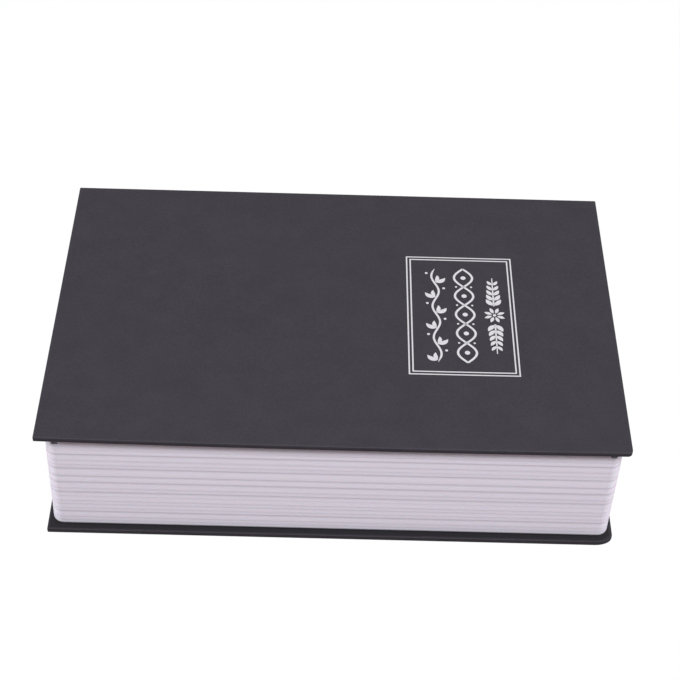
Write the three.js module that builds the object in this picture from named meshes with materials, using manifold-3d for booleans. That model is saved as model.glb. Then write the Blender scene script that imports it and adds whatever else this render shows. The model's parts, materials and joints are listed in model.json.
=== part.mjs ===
// A book diversion safe: a steel box with a locking lid, set in a moulded block that looks like
// a book's pages, between the boards of a hardback case. Millimetres, +Z up. X runs along the
// book's height, Y from the fore-edge (-) to the spine (+). The origin is under the middle of the
// closed book, on the surface it lies on.
import * as THREE from 'three';
import { mergeVertices } from 'three/addons/utils/BufferGeometryUtils.js';
import Module from 'manifold-3d';

const wasm = await Module();
wasm.setup();

// Book case: three boards in one covering sheet, lined with paper
const COVER_LENGTH = 240;
const COVER_WIDTH = 156;
const BOARD_THICKNESS = 1.8;
const SHEET_THICKNESS = 0.3;
const LINING_THICKNESS = 0.3;
const TURN_IN = 5;
const COVER_CORNER_RADIUS = 0.6;
const COVER_EDGE_RADIUS = 0.5;

// The flexible joint where the front cover folds at the spine's top edge
const JOINT_ON_SPINE = 3;
const JOINT_ON_COVER = 1.2;

// Moulded page block: a frame with open bottom and top, grooved like the edges of pages
const BLOCK_HEIGHT = 54.4;
const FORE_EDGE_OVERHANG = 3.7;
const END_OVERHANG = 1.9;
const PAGE_CORNER_RADIUS = 5;
const SPINE_CORNER_RADIUS = 1.5;
const PAGE_WALL = 1.8;
const PAGE_GROOVE_WIDTH = 0.6;
const STRONG_GROOVE = 0.4;
const PLAIN_GROOVE = 0.3;
const WEAK_GROOVE = 0.15;
const RIM_WIDTH = 5.5;
const RIM_THICKNESS = 1.8;
const SKIRT_DEPTH = 8;
const SKIRT_THICKNESS = 1.4;
const LEDGE_THICKNESS = 2;
const RIB_THICKNESS = 1.2;
const RIB_SPACING = 38;
const BOSS_RADIUS = 4;
const BOSS_EDGE_DISTANCE = 4.2;
const LEDGE_MARGIN = 1.2;

// Bundles of pages, lowest first: height and depth of the groove above
const PAGE_BUNDLES = [
  [1.8, PLAIN_GROOVE],
  [2.1, PLAIN_GROOVE],
  [3.9, STRONG_GROOVE],
  [2.1, PLAIN_GROOVE],
  [2.6, PLAIN_GROOVE],
  [2.1, PLAIN_GROOVE],
  [3.0, WEAK_GROOVE],
  [2.9, STRONG_GROOVE],
  [2.2, PLAIN_GROOVE],
  [4.1, STRONG_GROOVE],
  [3.9, STRONG_GROOVE],
  [4.9, STRONG_GROOVE],
  [2.1, PLAIN_GROOVE],
  [2.7, PLAIN_GROOVE],
  [3.8, STRONG_GROOVE],
  [2.4, WEAK_GROOVE],
  [2.6, WEAK_GROOVE],
  [4.9, 0],
];

// Steel box
const TRAY_STEEL = 1;
const TRAY_BEND_RADIUS = 1.6;
const TRAY_CORNER_RADIUS = 2.4;
const TRAY_SIDE_CLEARANCE = 0.4;
const TRAY_STANDOFF = 4;
const TRAY_FLANGE = 6;
const SCREW_SHANK_RADIUS = 1.4;
const SCREW_HEAD_RADIUS = 2.8;
const SCREW_HEAD_HEIGHT = 1.6;
const SCREW_GRIP = 3;
const SCREW_HOLE_CLEARANCE = 0.3;

// Steel lid
const LID_STEEL = 1.2;
const LID_SIDE_CLEARANCE = 0.8;
const LID_CORNER_RADIUS = 3;
const LID_LIP_DEPTH = 5;
const LID_LIP_CLEARANCE = 1;

// Lid hinges
const HINGE_SETBACK = 10;
const HINGE_FROM_BOX_END = 42;
const HINGE_LENGTH = 40;
const LEAF_STEEL = 1;
const LEAF_WIDTH = 12;
const KNUCKLE_RADIUS = 2.05;
const KNUCKLE_COUNT = 5;
const KNUCKLE_GAP = 0.3;
const LEAF_CLEARANCE = 0.45;
const HINGE_SEAT_GAP = 0.15;
const PIN_RADIUS = 1;
const PIN_CLEARANCE = 0.25;
const PIN_HEAD_RADIUS = 1.7;
const PIN_HEAD_LENGTH = 0.9;

// Cam lock, on an axis set back from the box's front wall
const LOCK_SETBACK = 22;
const BEZEL_RADIUS = 9.5;
const BEZEL_HEIGHT = 2;
const BARREL_RADIUS = 7.8;
const BARREL_CHAMFER = 0.6;
const BARREL_CLEARANCE = 0.3;
const BARREL_FLAT = 6.6;
const BARREL_LENGTH = 16.5;
const PLUG_RADIUS = 5.1;
const PLUG_CLEARANCE = 0.3;
const PLUG_RECESS = 0.5;
const PLUG_CHAMFER = 0.3;
const PLUG_SHOULDER_RADIUS = 6.4;
const PLUG_SHOULDER_LENGTH = 0.9;
const KEYWAY_WIDTH = 1.3;
const KEYWAY_HEIGHT = 6.8;
const KEYWAY_DEPTH = 13;
const TANG_SIZE = 6.4;
const NUT_ACROSS_CORNERS_RADIUS = 11.2;
const NUT_THICKNESS = 3.4;
const LOCK_WASHER_RADIUS = 10.4;
const LOCK_WASHER_THICKNESS = 0.7;
const CAM_THICKNESS = 2;
const CAM_HUB_RADIUS = 8;
const CAM_TIP_WIDTH = 10;
const CAM_TIP_ROUNDING = 2.5;
const CAM_WALL_CLEARANCE = 4;
const CAM_SCREW_SHANK_RADIUS = 1.6;
const CAM_SCREW_LENGTH = 7;
const CAM_SCREW_HEAD_RADIUS = 3.6;
const CAM_SCREW_HEAD_HEIGHT = 2.2;
const CAM_WASHER_RADIUS = 5.2;
const CAM_WASHER_THICKNESS = 0.8;

// Strike that the cam turns under
const STRIKE_WIDTH = 30;
const STRIKE_STEEL = 1.2;
const STRIKE_BEND_RADIUS = 1.8;
const STRIKE_HEIGHT = 10;
const STRIKE_OVERLAP = 5;
const STRIKE_CLEARANCE = 0.4;

// Cross recesses and points of the screws, as shares of the head or the shank
const RECESS_REACH = 0.55;
const RECESS_HALF_WIDTH = 0.13;
const RECESS_FLOOR = 0.4;
const DOME_SHARE = 0.35;
const DOME_FLAT = 0.75;
const POINT_SHARE = 0.6;

// Gaps kept between touching pieces
const GLUE_LINE = 0.02;
const SEAT_GAP = 0.1;
const REST_GAP = 0.3;

// Facets
const CORNER_STEPS = 4;
const PAGE_CORNER_STEPS = 6;
const EDGE_STEPS = 2;
const ROUND_STEPS = 32;
const PIN_STEPS = 16;

// Levels and places worked out from the sizes above
const WRAPPED_BOARD = SHEET_THICKNESS + BOARD_THICKNESS + LINING_THICKNESS;
const BLOCK_BOTTOM = WRAPPED_BOARD;
const COVER_UNDERSIDE = BLOCK_BOTTOM + BLOCK_HEIGHT;
const SPINE_OUTER_Y = COVER_WIDTH / 2;
const SPINE_INNER_Y = SPINE_OUTER_Y - WRAPPED_BOARD;
const PAGES = {
  x0: -COVER_LENGTH / 2 + END_OVERHANG,
  x1: COVER_LENGTH / 2 - END_OVERHANG,
  y0: -COVER_WIDTH / 2 + FORE_EDGE_OVERHANG,
  y1: SPINE_INNER_Y - SEAT_GAP,
};
const PAGES_BOTTOM = BLOCK_BOTTOM + GLUE_LINE;
const PAGES_TOP = COVER_UNDERSIDE - REST_GAP;
const TRAY = inset(PAGES, RIM_WIDTH + TRAY_SIDE_CLEARANCE);
const TRAY_INSIDE = inset(TRAY, TRAY_STEEL);
const TRAY_BOTTOM = BLOCK_BOTTOM + TRAY_STANDOFF;
const TRAY_FLOOR = TRAY_BOTTOM + TRAY_STEEL;
const LID_WELL = 2 * KNUCKLE_RADIUS + HINGE_SEAT_GAP + SEAT_GAP;
const FLANGE_TOP = PAGES_TOP - LID_WELL;
const HINGE_Y = TRAY.y1 - HINGE_SETBACK;
const HINGE_Z = FLANGE_TOP + HINGE_SEAT_GAP + KNUCKLE_RADIUS;
const LEAF_START = KNUCKLE_RADIUS + LEAF_CLEARANCE;
const LID_REAR_Y = HINGE_Y - LEAF_START;
const TRAY_OPENING = {
  x0: TRAY.x0 + TRAY_FLANGE,
  x1: TRAY.x1 - TRAY_FLANGE,
  y0: TRAY.y0 + TRAY_FLANGE,
  y1: LID_REAR_Y - TRAY_FLANGE,
};
const LID_UNDERSIDE = FLANGE_TOP + SEAT_GAP;
const LID_TOP = LID_UNDERSIDE + LID_STEEL;
const LOCK_Y = TRAY_INSIDE.y0 + LOCK_SETBACK;
const CAM_TOP = -BARREL_LENGTH - REST_GAP - PLUG_SHOULDER_LENGTH;
const TANG_END = CAM_TOP - CAM_THICKNESS;
const CAM_REACH = LOCK_SETBACK - CAM_WALL_CLEARANCE;
const STRIKE_UNDERSIDE = LID_TOP + CAM_TOP + STRIKE_CLEARANCE;
const STRIKE_REACH = CAM_WALL_CLEARANCE + STRIKE_OVERLAP;
const SCREW_PLACES = [
  [TRAY_INSIDE.x0 + BOSS_EDGE_DISTANCE, TRAY_INSIDE.y0 + BOSS_EDGE_DISTANCE],
  [TRAY_INSIDE.x1 - BOSS_EDGE_DISTANCE, TRAY_INSIDE.y0 + BOSS_EDGE_DISTANCE],
  [TRAY_INSIDE.x1 - BOSS_EDGE_DISTANCE, TRAY_INSIDE.y1 - BOSS_EDGE_DISTANCE],
  [TRAY_INSIDE.x0 + BOSS_EDGE_DISTANCE, TRAY_INSIDE.y1 - BOSS_EDGE_DISTANCE],
];

// Finishes
const coverSheet = finish(0x45414a, 0.62, 0);
const greyBoard = finish(0x8d8a84, 0.95, 0);
const liningPaper = finish(0xe9e6e0, 0.9, 0);
const pagePlastic = finish(0xcdc8d2, 0.55, 0);
const blackSteel = finish(0x1c1c1f, 0.5, 0.3);
const zincSteel = finish(0xb4b7ba, 0.35, 0.9);
const chrome = finish(0xd6d8da, 0.15, 1);

function finish(color, roughness, metalness) {
  return new THREE.MeshStandardMaterial({ color, roughness, metalness });
}

function inset(area, distance) {
  return {
    x0: area.x0 + distance,
    x1: area.x1 - distance,
    y0: area.y0 + distance,
    y1: area.y1 - distance,
  };
}

function centredArea(length, width) {
  return { x0: -length / 2, x1: length / 2, y0: -width / 2, y1: width / 2 };
}

/** A rounded rectangle's points, anticlockwise from above, each with its outward direction. */
function roundedOutline(area, frontRadius, rearRadius, steps = CORNER_STEPS) {
  const corners = [
    { x: area.x1, y: area.y1, sx: 1, sy: 1, start: 0, radius: rearRadius },
    { x: area.x0, y: area.y1, sx: -1, sy: 1, start: 90, radius: rearRadius },
    { x: area.x0, y: area.y0, sx: -1, sy: -1, start: 180, radius: frontRadius },
    { x: area.x1, y: area.y0, sx: 1, sy: -1, start: 270, radius: frontRadius },
  ];
  const points = [];
  for (const { x, y, sx, sy, start, radius } of corners) {
    if (radius <= 0) {
      points.push({ x, y, nx: sx, ny: sy });
      continue;
    }
    for (let step = 0; step <= steps; step += 1) {
      const angle = THREE.MathUtils.degToRad(start + (90 * step) / steps);
      const nx = Math.cos(angle);
      const ny = Math.sin(angle);
      points.push({ x: x - sx * radius + nx * radius, y: y - sy * radius + ny * radius, nx, ny });
    }
  }
  return points;
}

/** The outline drawn in by a distance, at one height. */
function ringAt(outline, distance, z) {
  return outline.map(({ x, y, nx, ny }) => ({ x: x - nx * distance, y: y - ny * distance, z }));
}

/** A closed solid through a stack of rings, lowest first, all with the same number of points. */
function loft(rings) {
  const count = rings[0].length;
  const positions = rings.flat().flatMap(({ x, y, z }) => [x, y, z]);
  const faces = [];
  for (let ring = 0; ring < rings.length - 1; ring += 1) {
    for (let point = 0; point < count; point += 1) {
      const next = (point + 1) % count;
      const [a, b] = [ring * count + point, ring * count + next];
      faces.push(a, b, b + count, a, b + count, a + count);
    }
  }
  const top = (rings.length - 1) * count;
  const plan = rings[0].map(({ x, y }) => new THREE.Vector2(x, y));
  for (const [a, b, c] of THREE.ShapeUtils.triangulateShape(plan, [])) {
    faces.push(a, c, b);
    faces.push(top + a, top + b, top + c);
  }
  const geometry = new THREE.BufferGeometry();
  geometry.setAttribute('position', new THREE.Float32BufferAttribute(positions, 3));
  geometry.setIndex(faces);
  return geometry;
}

/** A straight-sided block over a rounded rectangle. */
function prism(area, z0, z1, frontRadius = 0, rearRadius = frontRadius) {
  const outline = roundedOutline(area, frontRadius, rearRadius);
  return loft([ringAt(outline, 0, z0), ringAt(outline, 0, z1)]);
}

/** A slab over a rounded rectangle whose lower and upper edges are rounded too. */
function roundedSlab(area, z0, z1, cornerRadius, lowerEdge, upperEdge = lowerEdge) {
  const outline = roundedOutline(area, cornerRadius, cornerRadius);
  const rings = [];
  for (let step = 0; step <= EDGE_STEPS; step += 1) {
    const angle = (Math.PI / 2) * (step / EDGE_STEPS);
    rings.push(ringAt(
      outline, lowerEdge * (1 - Math.sin(angle)), z0 + lowerEdge * (1 - Math.cos(angle))));
  }
  for (let step = 0; step <= EDGE_STEPS; step += 1) {
    const angle = (Math.PI / 2) * (step / EDGE_STEPS);
    rings.push(ringAt(
      outline, upperEdge * (1 - Math.cos(angle)), z1 - upperEdge * (1 - Math.sin(angle))));
  }
  return loft(rings);
}

function block(x0, x1, y0, y1, z0, z1) {
  const geometry = new THREE.BoxGeometry(x1 - x0, y1 - y0, z1 - z0);
  return geometry.translate((x0 + x1) / 2, (y0 + y1) / 2, (z0 + z1) / 2);
}

/** A solid of revolution about Z from [radius, z] pairs, listed from the bottom up. */
function turned(profile, steps = ROUND_STEPS) {
  const points = profile.map(([radius, z]) => new THREE.Vector2(radius, z));
  return new THREE.LatheGeometry(points, steps).rotateX(Math.PI / 2);
}

function cylinder(radius, z0, z1, steps = ROUND_STEPS) {
  const geometry = new THREE.CylinderGeometry(radius, radius, z1 - z0, steps);
  return geometry.rotateX(Math.PI / 2).translate(0, 0, (z0 + z1) / 2);
}

function cylinderAlongX(radius, x0, x1, steps = PIN_STEPS) {
  const geometry = new THREE.CylinderGeometry(radius, radius, x1 - x0, steps);
  return geometry.rotateZ(Math.PI / 2).translate((x0 + x1) / 2, 0, 0);
}

function toSolid(geometry) {
  const bare = geometry.clone();
  bare.deleteAttribute('normal');
  bare.deleteAttribute('uv');
  const merged = mergeVertices(bare);
  return new wasm.Manifold(new wasm.Mesh({
    numProp: 3,
    vertProperties: merged.attributes.position.array,
    triVerts: new Uint32Array(merged.index.array),
  }));
}

function toGeometry(solid) {
  const mesh = solid.getMesh();
  const geometry = new THREE.BufferGeometry();
  geometry.setAttribute('position', new THREE.BufferAttribute(mesh.vertProperties, 3));
  geometry.setIndex(new THREE.BufferAttribute(mesh.triVerts, 1));
  geometry.computeVertexNormals();
  return geometry;
}

function cut(base, ...tools) {
  return toGeometry(tools.reduce((solid, tool) => solid.subtract(toSolid(tool)), toSolid(base)));
}

function join(base, ...additions) {
  return toGeometry(additions.reduce((solid, part) => solid.add(toSolid(part)), toSolid(base)));
}

function piece(name, geometry, material) {
  const mesh = new THREE.Mesh(geometry, material);
  mesh.name = name;
  return mesh;
}

// Hardback case. Each panel is drawn with its inner face at z = 0 and its outer face on top.

/** The covering sheet of a panel: its outer face, wrapped edges, and turn-ins round the lining. */
function coverSheetGeometry(area, sidesWrapped) {
  const edge = sidesWrapped ? COVER_EDGE_RADIUS : 0;
  const corner = sidesWrapped ? COVER_CORNER_RADIUS : 0;
  const outer = roundedSlab(area, 0, WRAPPED_BOARD, corner, edge);
  const pocketArea = inset(area, SHEET_THICKNESS);
  const windowArea = inset(area, TURN_IN);
  if (!sidesWrapped) {
    for (const open of [pocketArea, windowArea]) {
      open.y0 = area.y0 - 1;
      open.y1 = area.y1 + 1;
    }
  }
  const innerEdge = Math.max(edge - SHEET_THICKNESS, 0);
  const innerCorner = Math.max(corner - SHEET_THICKNESS, 0);
  const pocket = roundedSlab(
    pocketArea, LINING_THICKNESS, LINING_THICKNESS + BOARD_THICKNESS, innerCorner, innerEdge);
  return cut(outer, pocket, prism(windowArea, -1, LINING_THICKNESS + BOARD_THICKNESS / 2));
}

/** The stiff board that fills a panel's covering sheet. */
function boardGeometry(area, sidesWrapped) {
  const boardArea = inset(area, SHEET_THICKNESS + GLUE_LINE);
  if (!sidesWrapped) {
    boardArea.y0 = area.y0;
    boardArea.y1 = area.y1;
    return prism(boardArea, LINING_THICKNESS + GLUE_LINE, LINING_THICKNESS + BOARD_THICKNESS - GLUE_LINE);
  }
  return roundedSlab(
    boardArea,
    LINING_THICKNESS + GLUE_LINE,
    LINING_THICKNESS + BOARD_THICKNESS - GLUE_LINE,
    Math.max(COVER_CORNER_RADIUS - SHEET_THICKNESS, 0),
    Math.max(COVER_EDGE_RADIUS - SHEET_THICKNESS, 0),
  );
}

/** The paper pasted inside a panel, between the turn-ins. */
function liningGeometry(area, sidesWrapped) {
  const liningArea = inset(area, TURN_IN + GLUE_LINE);
  if (!sidesWrapped) {
    liningArea.y0 = area.y0;
    liningArea.y1 = area.y1;
  }
  return prism(liningArea, 0, LINING_THICKNESS);
}

function frontCover() {
  const area = centredArea(COVER_LENGTH, COVER_WIDTH);
  const jointRecess = block(
    -COVER_LENGTH, COVER_LENGTH,
    area.y1 - SHEET_THICKNESS - GLUE_LINE, area.y1 + 1,
    -1, JOINT_ON_COVER + GLUE_LINE,
  );
  const cover = new THREE.Group();
  cover.position.z = COVER_UNDERSIDE;
  cover.add(
    piece('front_cover_wrap', cut(coverSheetGeometry(area, true), jointRecess), coverSheet),
    piece('front_board', boardGeometry(area, true), greyBoard),
    piece('front_endpaper', liningGeometry(area, true), liningPaper),
  );
  return cover;
}

function backCover() {
  const area = centredArea(COVER_LENGTH, COVER_WIDTH);
  const cover = new THREE.Group();
  cover.rotation.x = Math.PI;
  cover.position.z = WRAPPED_BOARD;
  cover.add(
    piece('back_cover_wrap', coverSheetGeometry(area, true), coverSheet),
    piece('back_board', boardGeometry(area, true), greyBoard),
    piece('back_endpaper', liningGeometry(area, true), liningPaper),
  );
  return cover;
}

/** The spine panel stands on the back cover, its outer face level with the covers' rear edges. */
function spine() {
  const bottom = BLOCK_BOTTOM + GLUE_LINE;
  const top = COVER_UNDERSIDE - REST_GAP;
  const area = centredArea(COVER_LENGTH, top - bottom);
  const jointRecess = block(
    -COVER_LENGTH, COVER_LENGTH,
    -area.y1 - 1, -area.y1 + JOINT_ON_SPINE - REST_GAP + GLUE_LINE,
    WRAPPED_BOARD - SHEET_THICKNESS - GLUE_LINE, WRAPPED_BOARD + 1,
  );
  const panel = new THREE.Group();
  panel.rotation.x = -Math.PI / 2;
  panel.position.set(0, SPINE_INNER_Y, (bottom + top) / 2);
  panel.add(
    piece('spine_wrap', cut(coverSheetGeometry(area, false), jointRecess), coverSheet),
    piece('spine_board', boardGeometry(area, false), greyBoard),
    piece('spine_lining', liningGeometry(area, false), liningPaper),
  );
  return panel;
}

/** The covering sheet's free stretch, which bends when the front cover opens. */
function frontJoint() {
  const strip = block(
    -COVER_LENGTH / 2, COVER_LENGTH / 2,
    SPINE_OUTER_Y - SHEET_THICKNESS + GLUE_LINE, SPINE_OUTER_Y,
    COVER_UNDERSIDE - JOINT_ON_SPINE, COVER_UNDERSIDE + JOINT_ON_COVER,
  );
  return piece('front_joint', strip, coverSheet);
}

// Page block

/** Heights and depths of the page block's side: bundles of pages with a groove between each two. */
function pageProfile() {
  const listed = PAGE_BUNDLES.reduce((sum, [height]) => sum + height, 0);
  const stretch = (PAGES_TOP - PAGES_BOTTOM) / listed;
  const half = PAGE_GROOVE_WIDTH / 2;
  const profile = [{ z: PAGES_BOTTOM, depth: 0 }];
  let z = PAGES_BOTTOM;
  for (const [height, depth] of PAGE_BUNDLES.slice(0, -1)) {
    z += height * stretch;
    profile.push({ z: z - half, depth: 0 });
    profile.push({ z, depth });
    profile.push({ z: z + half, depth: 0 });
  }
  profile.push({ z: PAGES_TOP, depth: 0 });
  return profile;
}

/** The grooved outside: the spine side stays plain, so depth only counts on the other three. */
function pageBlockOutside() {
  const outline = roundedOutline(PAGES, PAGE_CORNER_RADIUS, SPINE_CORNER_RADIUS, PAGE_CORNER_STEPS);
  return loft(pageProfile().map(({ z, depth }) => outline.map(({ x, y, nx, ny }) => ({
    x: x - nx * depth,
    y: y - Math.min(ny, 0) * depth,
    z,
  }))));
}

/** Evenly spaced places along a side, at most the rib spacing apart, clear of its ends. */
function ribPlaces(from, to) {
  const gaps = Math.ceil((to - from) / RIB_SPACING);
  return Array.from({ length: gaps - 1 }, (_, i) => from + ((to - from) * (i + 1)) / gaps);
}

/** Ribs that stiffen the page walls between ledge and rim, one row along each side. */
function pageRibs() {
  const z0 = PAGES_BOTTOM + LEDGE_THICKNESS / 2;
  const z1 = PAGES_TOP - RIM_THICKNESS / 2;
  const outer = inset(PAGES, PAGE_WALL / 2);
  const inner = inset(PAGES, RIM_WIDTH);
  const half = RIB_THICKNESS / 2;
  const ribs = [];
  for (const x of ribPlaces(PAGES.x0, PAGES.x1)) {
    ribs.push(block(x - half, x + half, outer.y0, inner.y0, z0, z1));
    ribs.push(block(x - half, x + half, inner.y1, outer.y1, z0, z1));
  }
  for (const y of ribPlaces(PAGES.y0, PAGES.y1)) {
    ribs.push(block(outer.x0, inner.x0, y - half, y + half, z0, z1));
    ribs.push(block(inner.x1, outer.x1, y - half, y + half, z0, z1));
  }
  return ribs;
}

function pageFrame() {
  const wallInside = inset(PAGES, PAGE_WALL);
  const innerFront = Math.max(PAGE_CORNER_RADIUS - PAGE_WALL, 0);
  const hollow = prism(
    wallInside, PAGES_BOTTOM + LEDGE_THICKNESS, PAGES_TOP - RIM_THICKNESS, innerFront, 0);
  const skirt = prism(
    inset(PAGES, RIM_WIDTH - SKIRT_THICKNESS), PAGES_TOP - SKIRT_DEPTH, PAGES_TOP - RIM_THICKNESS / 2);
  const window = prism(inset(PAGES, RIM_WIDTH), PAGES_TOP - SKIRT_DEPTH - 1, PAGES_TOP + 1);
  const ledgeWidth = RIM_WIDTH + TRAY_SIDE_CLEARANCE + TRAY_STEEL
    + BOSS_EDGE_DISTANCE + BOSS_RADIUS + LEDGE_MARGIN;
  const bottomWindow = prism(
    inset(PAGES, ledgeWidth), PAGES_BOTTOM - 1, PAGES_BOTTOM + LEDGE_THICKNESS + 1, BOSS_RADIUS);
  const shell = cut(join(cut(pageBlockOutside(), hollow), skirt), window, bottomWindow);
  const bosses = SCREW_PLACES.map(([x, y]) => cylinder(
    BOSS_RADIUS,
    PAGES_BOTTOM + LEDGE_THICKNESS / 2,
    TRAY_BOTTOM - SEAT_GAP,
    PIN_STEPS,
  ).translate(x, y, 0));
  const pilotHoles = SCREW_PLACES.map(([x, y]) => cylinder(
    SCREW_SHANK_RADIUS + SCREW_HOLE_CLEARANCE,
    TRAY_BOTTOM - SCREW_GRIP - SEAT_GAP,
    TRAY_BOTTOM,
    PIN_STEPS,
  ).translate(x, y, 0));
  return piece('page_frame', cut(join(shell, ...pageRibs(), ...bosses), ...pilotHoles), pagePlastic);
}

// Steel box

function steelTray() {
  const outside = roundedSlab(TRAY, TRAY_BOTTOM, FLANGE_TOP, TRAY_CORNER_RADIUS, TRAY_BEND_RADIUS);
  const inside = roundedSlab(
    TRAY_INSIDE, TRAY_FLOOR, FLANGE_TOP - TRAY_STEEL,
    Math.max(TRAY_CORNER_RADIUS - TRAY_STEEL, 0), Math.max(TRAY_BEND_RADIUS - TRAY_STEEL, 0));
  const opening = prism(TRAY_OPENING, FLANGE_TOP - TRAY_STEEL - 1, FLANGE_TOP + 1, TRAY_BEND_RADIUS);
  const holes = SCREW_PLACES.map(([x, y]) => cylinder(
    SCREW_SHANK_RADIUS + SCREW_HOLE_CLEARANCE,
    TRAY_BOTTOM - 1,
    TRAY_FLOOR + 1,
    PIN_STEPS,
  ).translate(x, y, 0));
  return piece('steel_tray', cut(outside, inside, opening, ...holes), blackSteel);
}

/** A pan-head screw with a cross recess, its origin under the head. */
function panHeadScrew(shankRadius, length, headRadius, headHeight) {
  const dome = DOME_SHARE * headHeight;
  const point = POINT_SHARE * shankRadius;
  const body = turned([
    [0, -length],
    [point, -length],
    [shankRadius, -length + point],
    [shankRadius, 0],
    [headRadius, 0],
    [headRadius, headHeight - dome],
    [headRadius * DOME_FLAT, headHeight],
    [0, headHeight],
  ], PIN_STEPS);
  const arm = headRadius * RECESS_REACH;
  const slot = headRadius * RECESS_HALF_WIDTH;
  const recess = headHeight * RECESS_FLOOR;
  return cut(
    body,
    block(-arm, arm, -slot, slot, recess, headHeight + 1),
    block(-slot, slot, -arm, arm, recess, headHeight + 1),
  );
}

function trayScrews() {
  return SCREW_PLACES.map(([x, y], index) => {
    const length = TRAY_STEEL + SCREW_GRIP;
    const screw = piece(
      `tray_screw_${index + 1}`,
      panHeadScrew(SCREW_SHANK_RADIUS, length, SCREW_HEAD_RADIUS, SCREW_HEAD_HEIGHT),
      zincSteel,
    );
    screw.position.set(x, y, TRAY_FLOOR + GLUE_LINE);
    return screw;
  });
}

/** A bent bracket on the box's front wall; the cam turns under its lower leg. */
function strikeBracket() {
  const profile = new THREE.Shape();
  const bend = Math.max(STRIKE_BEND_RADIUS, STRIKE_STEEL + SEAT_GAP);
  profile.moveTo(0, STRIKE_HEIGHT);
  profile.lineTo(0, bend);
  profile.absarc(bend, bend, bend, Math.PI, Math.PI * 1.5, false);
  profile.lineTo(STRIKE_REACH, 0);
  profile.lineTo(STRIKE_REACH, STRIKE_STEEL);
  profile.lineTo(bend, STRIKE_STEEL);
  profile.absarc(bend, bend, bend - STRIKE_STEEL, Math.PI * 1.5, Math.PI, true);
  profile.lineTo(STRIKE_STEEL, STRIKE_HEIGHT);
  const geometry = new THREE.ExtrudeGeometry(profile, {
    depth: STRIKE_WIDTH, bevelEnabled: false, curveSegments: CORNER_STEPS,
  });
  geometry.rotateX(Math.PI / 2).rotateZ(Math.PI / 2).translate(-STRIKE_WIDTH / 2, 0, 0);
  const bracket = piece('strike_bracket', geometry, zincSteel);
  bracket.position.set(0, TRAY_INSIDE.y0 + GLUE_LINE, STRIKE_UNDERSIDE);
  return bracket;
}

// Lid hinges, drawn about their pins: the pin lies along X and the fixed leaf points to +Y

/** The knuckles of one leaf: every second one of the row, starting with the given one. */
function knuckles(first) {
  const pitch = HINGE_LENGTH / KNUCKLE_COUNT;
  const solids = [];
  for (let index = first; index < KNUCKLE_COUNT; index += 2) {
    const start = -HINGE_LENGTH / 2 + index * pitch;
    solids.push({ x0: start + KNUCKLE_GAP / 2, x1: start + pitch - KNUCKLE_GAP / 2 });
  }
  return solids;
}

/** A flat leaf whose fingers roll into its knuckles, bored for the pin. */
function leafGeometry(firstKnuckle, plate, side) {
  const spans = knuckles(firstKnuckle);
  const fingers = spans.map(({ x0, x1 }) => block(
    x0, x1, Math.min(0, side * (LEAF_START + 1)), Math.max(0, side * (LEAF_START + 1)), plate.z0, plate.z1));
  const rolls = spans.map(({ x0, x1 }) => cylinderAlongX(KNUCKLE_RADIUS, x0, x1));
  const edges = [side * LEAF_START, side * plate.width].sort((a, b) => a - b);
  const flat = block(-HINGE_LENGTH / 2, HINGE_LENGTH / 2, edges[0], edges[1], plate.z0, plate.z1);
  const bore = cylinderAlongX(PIN_RADIUS + PIN_CLEARANCE, -HINGE_LENGTH, HINGE_LENGTH);
  return cut(join(flat, ...fingers, ...rolls), bore);
}

function fixedLeaf(side) {
  const z0 = FLANGE_TOP + GLUE_LINE - HINGE_Z;
  const width = HINGE_SETBACK - TRAY_BEND_RADIUS;
  return piece(
    `${side}_hinge_fixed_leaf`, leafGeometry(0, { z0, z1: z0 + LEAF_STEEL, width }, 1), blackSteel);
}

function movingLeaf(side) {
  const z0 = LID_TOP + GLUE_LINE - HINGE_Z;
  return piece(
    `${side}_hinge_moving_leaf`,
    leafGeometry(1, { z0, z1: z0 + LEAF_STEEL, width: LEAF_WIDTH }, -1),
    blackSteel,
  );
}

function hingePin(side) {
  const half = HINGE_LENGTH / 2 + KNUCKLE_GAP;
  const pin = turned([
    [0, -half - PIN_HEAD_LENGTH],
    [PIN_HEAD_RADIUS * 0.7, -half - PIN_HEAD_LENGTH],
    [PIN_HEAD_RADIUS, -half - PIN_HEAD_LENGTH / 2],
    [PIN_HEAD_RADIUS, -half],
    [PIN_RADIUS, -half],
    [PIN_RADIUS, half],
    [PIN_HEAD_RADIUS, half],
    [PIN_HEAD_RADIUS, half + PIN_HEAD_LENGTH / 2],
    [PIN_HEAD_RADIUS * 0.7, half + PIN_HEAD_LENGTH],
    [0, half + PIN_HEAD_LENGTH],
  ], PIN_STEPS).rotateY(Math.PI / 2);
  return piece(`${side}_hinge_pin`, pin, zincSteel);
}

function atHinge(side, ...members) {
  const group = new THREE.Group();
  const x = side === 'left' ? TRAY.x0 + HINGE_FROM_BOX_END : TRAY.x1 - HINGE_FROM_BOX_END;
  group.position.set(x, HINGE_Y, HINGE_Z);
  group.add(...members);
  return group;
}

// Steel lid

/** A rectangular bar ring under the lid's front and sides, open towards the hinges. */
function lidLips() {
  const outer = inset(TRAY_OPENING, LID_LIP_CLEARANCE);
  const inner = inset(outer, LID_STEEL);
  const ring = prism(outer, LID_UNDERSIDE - LID_LIP_DEPTH, LID_UNDERSIDE + LID_STEEL / 2, TRAY_BEND_RADIUS);
  const hollow = prism(
    { ...inner, y1: outer.y1 + 1 }, LID_UNDERSIDE - LID_LIP_DEPTH - 1, LID_UNDERSIDE + LID_STEEL);
  return cut(ring, hollow);
}

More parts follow.
